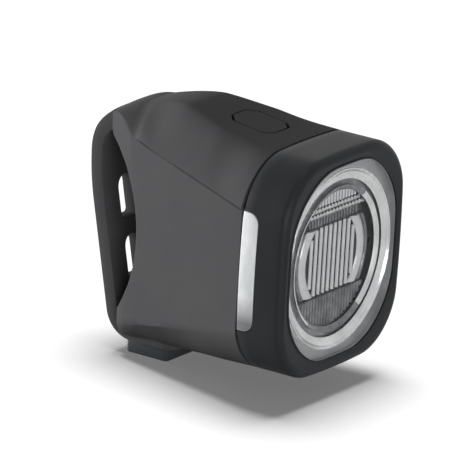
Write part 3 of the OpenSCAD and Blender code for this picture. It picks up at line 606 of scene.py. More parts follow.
@dataclass
class BezelForm:
    """Rounded square front ring, its lens and its side windows."""

    width: float = 39.8
    height: float = 42.0
    depth: float = 9.6
    corner_r: float = 10.2
    side_bow: float = 1.0
    edge_r: float = 1.5
    rim_w: float = 2.6
    rim_t: float = 1.2
    glass_r: float = 12.4
    wall: float = 1.7
    window_w: float = 3.4
    window_h: float = 22.6
    window_z: float = 0.3
    window_r: float = 2.2
    steps: int = 34

    def rounded(self, inset: float, r: float) -> list[Point2]:
        """Bowed outline in X and Z, moved inwards, with corners of radius r."""
        hw, h = self.width / 2 - inset, self.height / 2 - inset
        return mirrored([quarter_point(hw, h, r, r, self.side_bow, i / self.steps) for i in range(self.steps + 1)])

    def outline(self, inset: float) -> list[Point2]:
        """Outer outline, moved inwards."""
        return self.rounded(inset, self.corner_r - inset)

    def glass(self, inset: float) -> list[Point2]:
        """Outline of the front opening, moved inwards."""
        return self.rounded(self.rim_w + inset, self.glass_r - inset)

    @staticmethod
    def ring(outline: Sequence[Point2], y: float) -> list[Point3]:
        """Outline standing at a depth."""
        return [(x, y, z) for x, z in outline]

    def front_rows(self) -> list[list[Point3]]:
        """Rings of the outer skin, from the parting line over the rounded front edge."""
        lip = 0.22
        rows = [self.ring(self.outline(lip * (1 - math.sin(t))), self.depth - lip * (1 - math.cos(t)))
                for t in (0, math.pi / 4, math.pi / 2)]
        rows += [self.ring(self.outline(0), mix(self.depth - lip, self.edge_r, k / 4)) for k in (1, 2, 3)]
        for k in range(11):
            t = math.pi / 2 * k / 10
            rows.append(self.ring(self.outline(self.edge_r * (1 - math.cos(t))), self.edge_r * (1 - math.sin(t))))
        return rows

    def window_outline(self, grow: float) -> list[Point2]:
        """Side window's outline in Y and Z, with its straight edge past the parting line."""
        low, high = self.window_z - self.window_h / 2 - grow, self.window_z + self.window_h / 2 + grow
        front, rear, r = self.depth - self.window_w - grow, self.depth + 1, self.window_r
        corners = arc(front + r, high - r, r, 90, 180, 8) + arc(front + r, low + r, r, 180, 270, 8)
        return [(rear, low), (rear, high), *corners]

    def window_prism(self, side: int, grow: float) -> Solid:
        """Prism that passes through one side window."""
        rings = [[(side * x, y, z) for y, z in self.window_outline(grow)] for x in (self.width / 4, self.width)]
        return Solid.rings(rings)

    def build_ring(self) -> bpy.types.Object:
        """Front ring with its opening, sleeve and side slots."""
        roll = 0.25
        rows = self.front_rows()
        rows += [self.ring(self.glass(-roll * math.cos(t)), roll * (1 - math.cos(math.pi / 2 - t)))
                 for t in (0.0, math.pi / 8, math.pi / 4, 3 * math.pi / 8, math.pi / 2)]
        rows += [self.ring(self.glass(0), self.rim_t), self.ring(self.outline(self.wall), self.rim_t),
                 self.ring(self.outline(self.wall), self.depth)]
        ring = Solid.rings(rows, capped=False)
        ring.combine([self.window_prism(-1, 0.12), self.window_prism(1, 0.12)], Bool.CUT)
        return ring.piece("bezel_ring", BEZEL)

    def build_window(self, side: int, name: str) -> bpy.types.Object:
        """Side window, flush with the ring's skin."""
        skin, back = 0.03, self.wall + 0.8
        ends = (self.depth - self.window_w - 1, self.depth - 0.05)
        solid = Solid.rings([self.ring(self.outline(skin), y) for y in ends])
        solid.combine([self.window_prism(side, 0)], Bool.COMMON)
        core = Solid.rings([self.ring(self.outline(back), y) for y in (0, self.depth + 1)])
        solid.combine([core], Bool.CUT)
        return solid.bevel(0.16, 2, 50).piece(name, WINDOW)

    def build_lens(self) -> bpy.types.Object:
        """Clear cover lens that fills the opening, with softened edges."""
        front, back, edge, slip = 0.4, 1.1, 0.2, 0.15
        steps = ((slip + edge, front), (slip + edge * 0.3, front + edge * 0.3), (slip, front + edge), (slip, back))
        return Solid.rings([self.ring(self.glass(inset), y) for inset, y in steps]).piece("front_lens", CLEAR)

    def build_frame(self, hole_r: float) -> bpy.types.Object:
        """Metallised frame that lines the opening and fills the corners around the optic.

        Args:
            hole_r: Radius of the round hole for the optic.

        Returns:
            The frame.
        """
        front, face, back, leaf, slip = 0.45, 1.25, 1.5, 0.1, 0.03
        inner = []
        for x, z in self.glass(leaf + slip):
            far = math.hypot(x, z)
            keep = min(far - 0.02, hole_r) / far
            inner.append((x * keep, z * keep))
        outer, lining = self.glass(slip), self.glass(leaf)
        rows = [self.ring(outline, y) for outline, y in (
            (outer, front), (lining, front), (lining, face), (inner, face + 0.05), (inner, back), (outer, back))]
        return Solid.rings(rows, capped=False).piece("lens_frame", FRAME)


@dataclass
class StrapForm:
    """Silicone strap: crown, straight run with two holes, bend round the belly's corner and end on the hook."""

    width: float = 14.4
    thickness: float = 2.4
    back_y: float = 52.4
    crown_r: float = 9.9
    crown_in_r: float = 5.5
    axis_z: float = 11.9
    bend_r: float = 50.0
    lean: float = 11.7
    turn_r: float = 6.0
    turn_z: float = 17.6
    end_len: float = 9.8
    hole_w: float = 4.6
    hole_h: float = 8.0
    hole_pitch: float = 11.2
    hole_z: float = -2.4
    tip_r: float = 3.0
    root_arch: float = 0.4

    @property
    def bend_y(self) -> float:
        """Axis of the bend below the crown."""
        return self.back_y - self.bend_r

    @property
    def crown_y(self) -> float:
        """Axis of the crown's outer arc."""
        return self.back_y - self.crown_r

    @property
    def crown_in_y(self) -> float:
        """Axis of the crown's inner arc."""
        return self.back_y - self.thickness - self.crown_in_r

    @property
    def turn_y(self) -> float:
        """Axis of the bend round the belly's corner."""
        lean = math.radians(self.lean)
        return self.bend_y + (self.bend_r - self.turn_r - (self.turn_z + self.axis_z) * math.sin(lean)) / math.cos(lean)

    @property
    def low(self) -> float:
        """Underside of the strap's end."""
        return -self.turn_z - self.turn_r

    @property
    def tail_y(self) -> float:
        """Front tip of the strap's end."""
        return self.turn_y - self.end_len

    def side_paths(self, root_y: float) -> tuple[list[Point2], list[Point2]]:
        """Outer and inner path in Y and Z, of equal count, from the root to the tip.

        Args:
            root_y: Depth of the strap's root.

        Returns:
            The two paths.
        """
        t, lean = self.thickness, -self.lean
        start = math.degrees(math.acos((root_y - self.crown_y) / self.crown_r))
        start_in = math.degrees(math.acos((root_y - self.crown_in_y) / self.crown_in_r))
        outer = arc(self.crown_y, self.axis_z, self.crown_r, start, 0, 26)
        inner = arc(self.crown_in_y, self.axis_z, self.crown_in_r, start_in, 0, 26)
        outer += arc(self.bend_y, self.axis_z, self.bend_r, 0, lean, 14)[1:]
        inner += arc(self.bend_y, self.axis_z, self.bend_r - t, 0, lean, 14)[1:]
        turn_out = arc(self.turn_y, -self.turn_z, self.turn_r, lean, -90, 18)
        turn_in = arc(self.turn_y, -self.turn_z, self.turn_r - t, lean, -90, 18)
        for path, turn in ((outer, turn_out), (inner, turn_in)):
            a, b = path[-1], turn[0]
            path += [(mix(a[0], b[0], i / 16), mix(a[1], b[1], i / 16)) for i in range(1, 16)]
            path += turn
            path += [(mix(self.turn_y, self.tail_y + self.tip_r, i / 5), turn[-1][1]) for i in range(1, 6)]
            path += [(y, turn[-1][1]) for y, _ in arc(self.tail_y + self.tip_r, 0, self.tip_r, 90, 180, 8)[1:]]
        return outer, inner

    def half_width(self, y: float, z: float) -> float:
        """Half width of the strap, narrowed by the round corners of its tip."""
        into = self.tail_y + self.tip_r - y
        if z > -self.turn_z or into <= 0:
            return self.width / 2
        return self.width / 2 - self.tip_r + math.sqrt(max(0.0, self.tip_r ** 2 - into ** 2))

    def hole(self, z: float) -> Solid:
        """Prism of a hole with a round top and a flat lower edge."""
        r, top = self.hole_w / 2, z + self.hole_h - self.hole_w / 2
        cut, reach = 0.5, 10.4
        points = [(-r + cut, z), (r - cut, z), (r, z + cut), *arc(0, top, r, 0, 180, 14), (-r, z + cut)]
        return Solid.rings([[(x, y, zz) for x, zz in points] for y in (self.back_y - reach, self.back_y + 2)])

    def build(self, root_y: float, neck_y: float, neck_slot: Point2) -> bpy.types.Object:
        """One continuous strap.

        Args:
            root_y: Depth of its root in the jacket.
            neck_y: Depth of the hook's neck.
            neck_slot: Width and length of the slot that goes over the neck.

        Returns:
            The strap.
        """
        outer, inner = self.side_paths(root_y)
        across, arched = 8, 16
        rings = []
        for i, ((oy, oz), (iy, iz)) in enumerate(zip(outer, inner)):
            w, thick = self.half_width(oy, oz), math.hypot(iy - oy, iz - oz)
            drop = self.root_arch * smooth(1 - i / arched) / thick
            ring = []
            for j in range(across, -across - 1, -1):
                turn = math.pi / 2 * j / across
                d = drop * (1 - math.cos(turn))
                ring.append((w * math.sin(turn), mix(oy, iy, d), mix(oz, iz, d)))
            rings.append(ring + [(-w, iy, iz), (w, iy, iz)])
        strap = Solid.rings(rings)
        slot = Solid.prism(rounded_rect(neck_slot[0], neck_slot[1], 1.4), -4, 4,
                           Matrix.Translation((0, neck_y, self.low + self.thickness / 2)))
        strap.combine([self.hole(self.hole_z), self.hole(self.hole_z - self.hole_pitch), slot], Bool.CUT)
        strap.bevel(0.42, 3, 40, lambda p: p.y > root_y + 0.05 or p.z < 0)
        return strap.piece("strap", SILICONE, 50)


@dataclass
class JacketForm:
    """Silicone jacket: hood, flat cheeks, belly, handlebar seat and strap root."""

    bezel: BezelForm = field(default_factory=BezelForm)
    strap: StrapForm = field(default_factory=StrapForm)
    front_y: float = 10.1
    seam_y: float = 48.0
    crease_lift: float = 0.6
    peak_run: float = 22.0
    peak_z: float = 24.04
    shoulder_r: float = 7.2
    shoulder_run: float = 12.0
    rise_mix: float = 0.7
    rise_power: float = 1.55
    fall_power: float = 1.73
    root_lift: float = 0.4
    root_run: float = 6.0
    flank_run: float = 31.7
    flank_w: float = 19.8
    belly_slope: float = 4.9
    belly_r: float = 4.5
    wall: float = 1.8
    seat_r: float = 25.0
    seat_y: float = 38.9
    seat_z: float = -2.8
    lip_y: float = 43.4
    lip_r: float = 2.0
    arch_r: float = 9.8
    arch_run: float = 7.6
    arch_power: float = 1.6
    crown_edge_r: float = 0.4
    rear_bow: float = 0.3
    gap: float = 0.3
    button_y: float = 20.1
    button_len: float = 9.3
    button_w: float = 7.8
    button_cut: float = 1.8
    button_t: float = 0.9
    groove: float = 0.4
    port_y: float = 24.5
    cover_size: Point2 = (14.0, 9.0)
    cover_t: float = 0.9
    cover_r: float = 2.0
    plug_size: Point2 = (11.0, 5.6)
    lip: tuple[Point2, ...] = ((0.0, -0.62), (-0.26, -0.38), (-0.22, -0.16), (0.1, -0.07), (0.26, 0.0))
    hood_power: float = 1.55
    shoulder_in: float = 0.6
    keel_in: float = 0.4
    lip_fade: int = 16
    crease_fade: Point2 = (-0.4, 4.0)
    keel_fade: tuple[Point2, Point2] = ((6.0, 16.0), (1.0, 6.0))
    hood_fade: tuple[Point2, Point2] = ((0.0, 9.0), (2.0, 8.0))
    seat_top: Point2 = (4.6, 14.5)
    seat_ease: float = 0.35
    belly_lines: int = 26
    cheek_lines: int = 26
    hood_lines: int = 46
    stations: int = 64
    inner_stations: int = 30
    station_power: float = 0.82
    fine_y: Point2 = (38.0, 38.2)

    @property
    def flank_y(self) -> float:
        """Depth of the cheeks' rear edge."""
        return self.front_y + self.flank_run

    @property
    def crown_z(self) -> float:
        """Height of the hood at the strap's root."""
        s = self.strap
        return s.axis_z + math.sqrt(s.crown_r ** 2 - (self.seam_y - s.crown_y) ** 2)

    @property
    def root_z(self) -> float:
        """Height of the strap's inner face at its root."""
        s = self.strap
        return s.axis_z + math.sqrt(s.crown_in_r ** 2 - (self.seam_y + self.gap - s.crown_in_y) ** 2)

    def along(self, y: float) -> float:
        """Share of the body's length behind the parting line."""
        return clamp01((y - self.front_y) / (self.seam_y - self.front_y))

    def cheek_x(self, y: float) -> float:
        """Half width between the cheeks."""
        front, rear, root = self.bezel.width / 2 - self.crease_lift, self.flank_w / 2, self.strap.width / 2
        if y < self.flank_y:
            return mix(front, rear, clamp01((y - self.front_y) / self.flank_run))
        return mix(rear, root, clamp01((y - self.flank_y) / (self.seam_y - self.flank_y)))

    def hood_z(self, y: float) -> float:
        """Height of the hood's ridge."""
        peak_y = self.front_y + self.peak_run
        lift = self.root_lift * math.sin(math.pi * clamp01((y - self.seam_y + self.root_run) / self.root_run))
        if y < peak_y:
            t = clamp01((y - self.front_y) / self.peak_run)
            return lift + mix(self.bezel.height / 2, self.peak_z, mix(smooth(t ** self.rise_power), t, self.rise_mix))
        fall = clamp01((y - peak_y) / (self.seam_y - peak_y)) ** self.fall_power
        return lift + mix(self.peak_z, self.crown_z, fall)

    def belly_z(self, y: float) -> float:
        """Depth of the belly below the optical axis."""
        return self.bezel.height / 2 + max(0.0, y - self.front_y) * math.tan(math.radians(self.belly_slope))

    def fade(self, y: float, rise: Point2, fall: Point2) -> float:
        """Share of a form that fades in behind the parting line and out at the cheeks' rear edge.

        Args:
            y: Depth.
            rise: Where it starts behind the parting line, and over what length.
            fall: Where it ends behind the cheeks' rear edge, and over what length.

        Returns:
            Share from 0 to 1.
        """
        return smooth((y - self.front_y - rise[0]) / rise[1]) * smooth((self.flank_y + fall[0] - y) / fall[1])

    def upper(self, y: float, inset: float) -> Section:
        """Half width, height, corner width, corner depth and bow of the section's upper part."""
        arch_y = self.seam_y - self.arch_run
        r = mix(self.bezel.corner_r, self.shoulder_r, clamp01((y - self.front_y) / self.shoulder_run))
        d = mix(self.bezel.corner_r, self.arch_r, clamp01((y - self.front_y) / (arch_y - self.front_y)))
        if y >= arch_y:
            d = mix(self.crown_edge_r, self.arch_r, clamp01((self.seam_y - y) / self.arch_run) ** self.arch_power)
        bow = mix(self.bezel.side_bow, self.rear_bow, self.along(y))
        hw = self.cheek_x(y) + self.crease_lift - inset
        return hw, self.hood_z(y) - inset, min(max(r - inset, 1), hw - bow - 0.2), max(d - inset, 0.3), bow

    def lower(self, y: float, inset: float) -> Section:
        """Half width, height, corner width, corner depth and bow of the section's lower part."""
        bow = mix(self.bezel.side_bow, self.rear_bow, self.along(y))
        r = max(mix(self.bezel.corner_r, self.belly_r, self.along(y)) - inset, 1)
        return self.cheek_x(y) + self.crease_lift - inset, self.belly_z(y) - inset, r, r, bow

    @staticmethod
    def crossing(shape: Section, x: float) -> float:
        """Place along a quarter where its half width comes down to x."""
        low, high = 0.0, 1.0
        for _ in range(26):
            mid = (low + high) / 2
            if quarter_point(*shape, mid)[0] > x:
                low = mid
            else:
                high = mid
        return high

    def crease_z(self, y: float) -> float:
        """Height of the straight crease between hood and cheek."""
        ends = []
        for end in (self.front_y, self.flank_y):
            high = self.upper(end, 0.0)
            ends.append(quarter_point(*high, self.crossing(high, self.cheek_x(end)))[1])
        return mix(*ends, clamp01((y - self.front_y) / self.flank_run))

    def half_section(self, y: float, inset: float) -> list[Point2]:
        """Right half of the section from the middle of the belly to the ridge, in fixed counts.

        Args:
            y: Depth of the section.
            inset: How far it is moved inwards.

        Returns:
            Points in X and Z.
        """
        x = self.cheek_x(y) - inset
        low, high = self.lower(y, inset), self.upper(y, inset)
        show = smooth((self.flank_y + self.crease_fade[0] - y) / self.crease_fade[1]) if inset == 0 else 0.0
        s_low, s_high = self.crossing(low, x), self.crossing(high, x)
        points = []
        z_edge, keel = quarter_point(*low, s_low)[1], max(1.0, low[0] - low[2] - self.keel_in)
        z_keel = quarter_point(*low, self.crossing(low, keel))[1]
        crisp = self.fade(y, *self.keel_fade)
        for i in range(self.belly_lines + 1):
            px, pz = quarter_point(*low, mix(1.0, s_low, i / self.belly_lines))
            if px > keel:
                out = clamp01((px - keel) / max(0.1, x - keel)) ** self.hood_power
                pz = mix(pz, mix(z_keel, z_edge, out), crisp)
            points.append((px, -pz))
        z_low, z_cross = points[-1][1], quarter_point(*high, s_high)[1]
        z_lip = mix(z_cross, self.crease_z(y), clamp01((self.flank_y - y) / 2)) if inset == 0 else z_cross
        z_top = z_lip + self.lip[0][1] * show
        points += [(x, mix(z_low, z_top, i / self.cheek_lines)) for i in range(1, self.cheek_lines)]
        points += [(x + dx * show, z_lip + dz * show) for dx, dz in self.lip]
        shoulder = max(1.0, high[0] - high[2] - self.shoulder_in)
        z_shoulder = quarter_point(*high, self.crossing(high, shoulder))[1]
        flat = self.fade(y, *self.hood_fade)
        for i in range(1, self.hood_lines + 1):
            px, pz = quarter_point(*high, mix(s_high, 1.0, i / self.hood_lines))
            if px > shoulder:
                out = clamp01((px - shoulder) / max(0.1, x - shoulder)) ** self.hood_power
                pz = mix(pz + (z_lip - z_cross) * out, mix(z_shoulder, z_lip, out), flat)
            points.append((px + self.lip[-1][0] * show * (1 - smooth(i / self.lip_fade)), pz))
        return points

    def rear(self, z: float, inset: float) -> float:
        """Depth of the body's rear at a height: strap root, seat, lip and its rounded edge."""
        reach = self.seat_r + inset
        seat = self.seat_y + self.seat_r - math.sqrt(max(1.0, reach ** 2 - (z - self.seat_z) ** 2))
        if inset:
            return min(seat, self.flank_y + 2 - inset)
        top_y, top_z = self.seat_y + self.seat_top[0], self.seat_z + self.seat_top[1]
        if z >= self.root_z:
            return self.seam_y
        if z >= top_z:
            t = (z - top_z) / (self.root_z - top_z)
            return mix(top_y, self.seam_y, smooth(t) * self.seat_ease + t * (1 - self.seat_ease))
        edge = -self.belly_z(self.lip_y) + self.lip_r
        if z < edge:
            return self.lip_y - self.lip_r + math.sqrt(max(0.0, self.lip_r ** 2 - (z - edge) ** 2))
        return min(seat, self.lip_y)

    def form(self, inset: float, start: float) -> Solid:
        """Closed form of the body.

        Args:
            inset: How far its skin is moved inwards.
            start: Depth of its front end.

        Returns:
            The solid.
        """
        count = self.inner_stations if inset else self.stations
        coarse, fine = np.linspace(self.front_y, self.fine_y[0], 60), np.linspace(self.fine_y[1], self.seam_y, 90)
        dense = np.concatenate([coarse, fine])
        sections = np.array([self.half_section(float(y), inset) for y in dense])
        if inset:
            floor = self.strap.low + self.strap.thickness + self.gap + inset
            under = dense > self.strap.tail_y - self.gap - inset
            sections[under, :, 1] = np.maximum(sections[under, :, 1], floor)
        lines = sections.shape[1]
        share = np.linspace(0, 1, count + 1) ** self.station_power
        columns = []
        for k in range(lines):
            ahead = np.array([y - self.rear(float(z), inset) for y, z in zip(dense, sections[:, k, 1])])
            j = int(np.argmax(ahead >= -1e-9)) if (ahead >= -1e-9).any() else len(dense) - 1
            end = float(dense[j])
            if j > 0 and ahead[j] > 1e-9:
                end = float(dense[j - 1] + (dense[j] - dense[j - 1]) * -ahead[j - 1] / (ahead[j] - ahead[j - 1]))
            ys = self.front_y + (end - self.front_y) * share
            xs, zs = np.interp(ys, dense, sections[:, k, 0]), np.interp(ys, dense, sections[:, k, 1])
            column = [(float(x), float(y), float(z)) for x, y, z in zip(xs, ys, zs)]
            columns.append(([(column[0][0], start, column[0][2])] if start < self.front_y else []) + column)
        columns[0] = [(0.0, y, z) for _, y, z in columns[0]]
        columns[-1] = [(0.0, y, z) for _, y, z in columns[-1]]
        loop = columns + [[(-x, y, z) for x, y, z in c] for c in reversed(columns[1:-1])]
        n, m = len(loop), len(loop[0])
        points = [p for c in loop for p in c]
        faces = [[c * m + i, c * m + i + 1, ((c + 1) % n) * m + i + 1, ((c + 1) % n) * m + i]
                 for c in range(n) for i in range(m - 1)]
        faces.append([c * m for c in range(n)])
        last = m - 1
        for k in range(lines - 1):
            right, left = (k, k + 1), (n - k - 1, (n - k) % n)
            faces.append([c * m + last for c in right + left])
        return Solid(points, faces)

    @property
    def button_frame(self) -> Matrix:
        """Frame on the hood in the middle of the button, with +Z out of the hood."""
        slope = math.atan((self.hood_z(self.button_y + 1) - self.hood_z(self.button_y - 1)) / 2)
        return Matrix.Translation((0, self.button_y, self.hood_z(self.button_y))) @ Matrix.Rotation(slope, 4, "X")

    @property
    def port_frame(self) -> Matrix:
        """Frame on the belly under the charging port, with +Z into the body."""
        place = Matrix.Translation((0, self.port_y, -self.belly_z(self.port_y)))
        return place @ Matrix.Rotation(-math.radians(self.belly_slope), 4, "X")

    def button_outline(self, grow: float) -> list[Point2]:
        """Button outline in X and Y, with cut corners."""
        w, l, c = self.button_w / 2 + grow, self.button_len / 2 + grow, self.button_cut
        return [(-w, -l + c), (-w + c, -l), (w - c, -l), (w, -l + c), (w, l - c), (w - c, l), (-w + c, l), (-w, l - c)]

    def build_jacket(self, hook: "HookForm") -> bpy.types.Object:
        """Jacket with the button's groove, the port's recess and the channel for the strap's end.

        Args:
            hook: Hook whose neck passes through the belly.

        Returns:
            The jacket.
        """
        s = self.strap
        jacket = self.form(0, self.front_y)
        jacket.bevel(0.3, 3, 40, lambda p: p.y > 30 and p.z < self.root_z - 0.4)
        channel_z = s.low + s.thickness + self.gap
        half = s.width / 2 + self.gap
        tail = Solid.rings([[(x, y, z) for x, y in ((-half, s.tail_y - self.gap), (half, s.tail_y - self.gap),
                                                    (half, s.turn_y + 1), (-half, s.turn_y + 1))]
                            for z in (channel_z - 20, channel_z)])
        disc = s.turn_r - s.thickness - self.gap
        beyond = 12
        turn_outline = arc(s.turn_y, -s.turn_z, disc, 0, -90, 15) + [
            (s.turn_y, -s.turn_z - beyond), (s.turn_y + beyond, -s.turn_z - beyond), (s.turn_y + beyond, -s.turn_z)]
        turn = Solid.rings([[(x, y, z) for y, z in turn_outline] for x in (-half, half)])
        neck = Solid.prism(rounded_rect(hook.neck_w + 0.3, hook.neck_len + 0.3, 1), channel_z - 1, channel_z + 3,
                           Matrix.Translation((0, hook.neck_y, 0)))
        cover, plug = ([v + 2 * self.gap for v in size] for size in (self.cover_size, self.plug_size))
        tools = [
            self.form(self.wall, self.front_y - 1),
            Solid.prism(self.button_outline(self.groove), -2 * self.wall, 2, self.button_frame),
            Solid.prism(rounded_rect(*cover, self.cover_r), -1, self.cover_t + 0.05, self.port_frame),
            Solid.prism(rounded_rect(*plug, 1.4), -0.5, 2 * self.wall, self.port_frame),
            tail, turn, neck,
        ]
        for tool in tools:
            jacket.combine([tool], Bool.CUT)
        return jacket.piece("jacket", SILICONE)

    def build_button(self) -> bpy.types.Object:
        """Press pad, flush with the hood."""
        pad = self.form(0, self.front_y)
        pad.combine([Solid.prism(self.button_outline(0), -self.button_t, 2, self.button_frame)], Bool.COMMON)
        pad.bevel(0.2, 3, 40)
        return pad.piece("button_pad", SILICONE)

    def build_cover(self) -> bpy.types.Object:
        """Rubber cover of the charging port, with its plug and a finger notch at its rear edge."""
        plate = Solid.prism(rounded_rect(*self.cover_size, self.cover_r), 0, self.cover_t, self.port_frame)
        notch_at = self.port_frame @ Matrix.Translation((0, self.cover_size[1] / 2 + 0.6, -0.55))
        notch = Solid.prism(rounded_rect(6, 2.6, 1.2), -0.5, 0.9, notch_at)
        plate.combine([notch], Bool.CUT)
        plate.bevel(0.22, 3, 50)
        top = self.wall - 0.05 - self.gap
        plug = Solid.prism(rounded_rect(*self.plug_size, 1.2), self.cover_t - 0.1, top, self.port_frame)
        plate.combine([plug.bevel(0.15, 2, 50)], Bool.JOIN)
        return plate.piece("port_flap", SILICONE)


@dataclass
class HookForm:
    """Hook under the belly that holds the strap's end."""

    strap: StrapForm = field(default_factory=StrapForm)
    width: float = 12.0
    length: float = 9.5
    height: float = 2.5
    head_in: float = 7.5
    reach: float = 2.9
    neck_in: float = 1.8
    neck_w: float = 5.0
    neck_len: float = 4.4
    gap: float = 0.3

    @property
    def front_y(self) -> float:
        """Front edge of the hook's head."""
        return self.strap.turn_y - self.head_in

    @property
    def neck_y(self) -> float:
        """Depth of the neck's middle."""
        return self.front_y + self.reach

    def build(self) -> bpy.types.Object:
        """Hook with a rounded head and its neck."""
        top = self.strap.low - self.gap
        floor = self.strap.low + self.strap.thickness + self.gap + self.neck_in
        head = Solid.prism(rounded_rect(self.width, self.length, 0.9), top - self.height, top,
                           Matrix.Translation((0, self.front_y + self.length / 2, 0))).bevel(0.35, 3, 50)
        neck = Solid.prism(rounded_rect(self.neck_w, self.neck_len, 0.8), top - 0.6, floor,
                           Matrix.Translation((0, self.neck_y, 0)))
        head.combine([neck], Bool.JOIN)
        return head.piece("hook", SHELL)


class RowTree:
    """Node tree with named inputs, whose result is kept as a plain mesh."""

    def __init__(self, name: str, counts: Sequence[str], measures: Sequence[str]) -> None:
        """Starts the tree.

        Args:
            name: Name of the tree.
            counts: Names of its whole-number inputs.
            measures: Names of its inputs in millimetres.
        """
        self.tree = bpy.data.node_groups.new(name, "GeometryNodeTree")
        kinds = {**dict.fromkeys(counts, "NodeSocketInt"), **dict.fromkeys(measures, "NodeSocketFloat"),
                 "Material": "NodeSocketMaterial"}
        for key, kind in kinds.items():
            self.tree.interface.new_socket(name=key, in_out="INPUT", socket_type=kind)
        self.tree.interface.new_socket(name="Geometry", in_out="OUTPUT", socket_type="NodeSocketGeometry")
        self.given = self.tree.nodes.new("NodeGroupInput").outputs

    def calc(self, operation: str, a: object, b: object = 0.0) -> bpy.types.NodeSocket:
        """Result of a sum on two values or sockets."""
        return add(self.tree, "ShaderNodeMath", {"operation": operation, 0: a, 1: b}).outputs[0]

    def close(self, stamped: bpy.types.Node) -> None:
        """Ends the tree with real geometry from its instances, in the given material."""
        real = add(self.tree, "GeometryNodeRealizeInstances", {0: stamped.outputs[0]})
        dressed = add(self.tree, "GeometryNodeSetMaterial", {
            "Geometry": real.outputs[0], "Material": self.given["Material"]})
        add(self.tree, "NodeGroupOutput", {0: dressed.outputs[0]})

    def build(self, name: str, values: dict[str, object]) -> bpy.types.Object:
        """Runs the tree and keeps its result as a plain mesh in the row frame.

        Args:
            name: Name of the piece.
            values: Value of each named input.

        Returns:
            The piece, without a modifier.
        """
        obj = placed(name, bpy.data.meshes.new(name))
        step = obj.modifiers.new("make", "NODES")
        step.node_group = self.tree
        sockets = {s.name: s.identifier for s in self.tree.interface.items_tree if s.in_out == "INPUT"}
        for key, value in values.items():
            step[sockets[key]] = value
        mesh = bpy.data.meshes.new_from_object(obj.evaluated_get(bpy.context.evaluated_depsgraph_get()))
        obj.modifiers.remove(step)
        obj.data = finished(mesh, [], 40)
        return obj


class FluteTree(RowTree):
    """Round bars side by side along X, cut to length by a circle and by two heights."""

    def __init__(self) -> None:
        """Builds the tree."""
        super().__init__("flute_row", ("Count",), ("Pitch", "Bar radius", "Low", "High", "Circle", "Depth"))
        tree, given, calc = self.tree, self.given, self.calc
        span = calc("MULTIPLY", calc("SUBTRACT", given["Count"], 1.0), calc("MULTIPLY", given["Pitch"], -0.5))
        start = add(tree, "ShaderNodeCombineXYZ", {"X": span, "Y": given["Depth"]})
        offset = add(tree, "ShaderNodeCombineXYZ", {"X": given["Pitch"]})
        line = add(tree, "GeometryNodeMeshLine", {
            "Count": given["Count"], "Start Location": start.outputs[0], "Offset": offset.outputs[0]})
        place = add(tree, "ShaderNodeSeparateXYZ", {0: add(tree, "GeometryNodeInputPosition").outputs[0]})
        square = calc("SUBTRACT", calc("MULTIPLY", given["Circle"], given["Circle"]),
                      calc("MULTIPLY", place.outputs["X"], place.outputs["X"]))
        chord = calc("SQRT", calc("MAXIMUM", square, 0.01))
        low = calc("MAXIMUM", given["Low"], calc("MULTIPLY", chord, -1.0))
        high = calc("MINIMUM", given["High"], chord)
        length = calc("MAXIMUM", calc("SUBTRACT", high, low), 0.05)
        lift = add(tree, "ShaderNodeCombineXYZ", {"Z": low})
        moved = add(tree, "GeometryNodeSetPosition", {"Geometry": line.outputs[0], "Offset": lift.outputs[0]})
        size = add(tree, "ShaderNodeCombineXYZ", {"X": 1.0, "Y": 1.0, "Z": length})
        stick = add(tree, "GeometryNodeMeshCylinder", {"Vertices": 20, "Radius": given["Bar radius"], "Depth": 1.0})
        raised = add(tree, "GeometryNodeTransform", {"Geometry": stick.outputs[0], "Translation": (0, 0, 0.5)})
        stamped = add(tree, "GeometryNodeCaptureAttribute", {"Geometry": moved.outputs[0]})
        stamped.capture_items.new("VECTOR", "Size")
        tree.links.new(size.outputs[0], stamped.inputs["Size"])
        bars = add(tree, "GeometryNodeInstanceOnPoints", {
            "Points": stamped.outputs[0], "Instance": raised.outputs[0], "Scale": stamped.outputs["Size"]})
        self.close(bars)


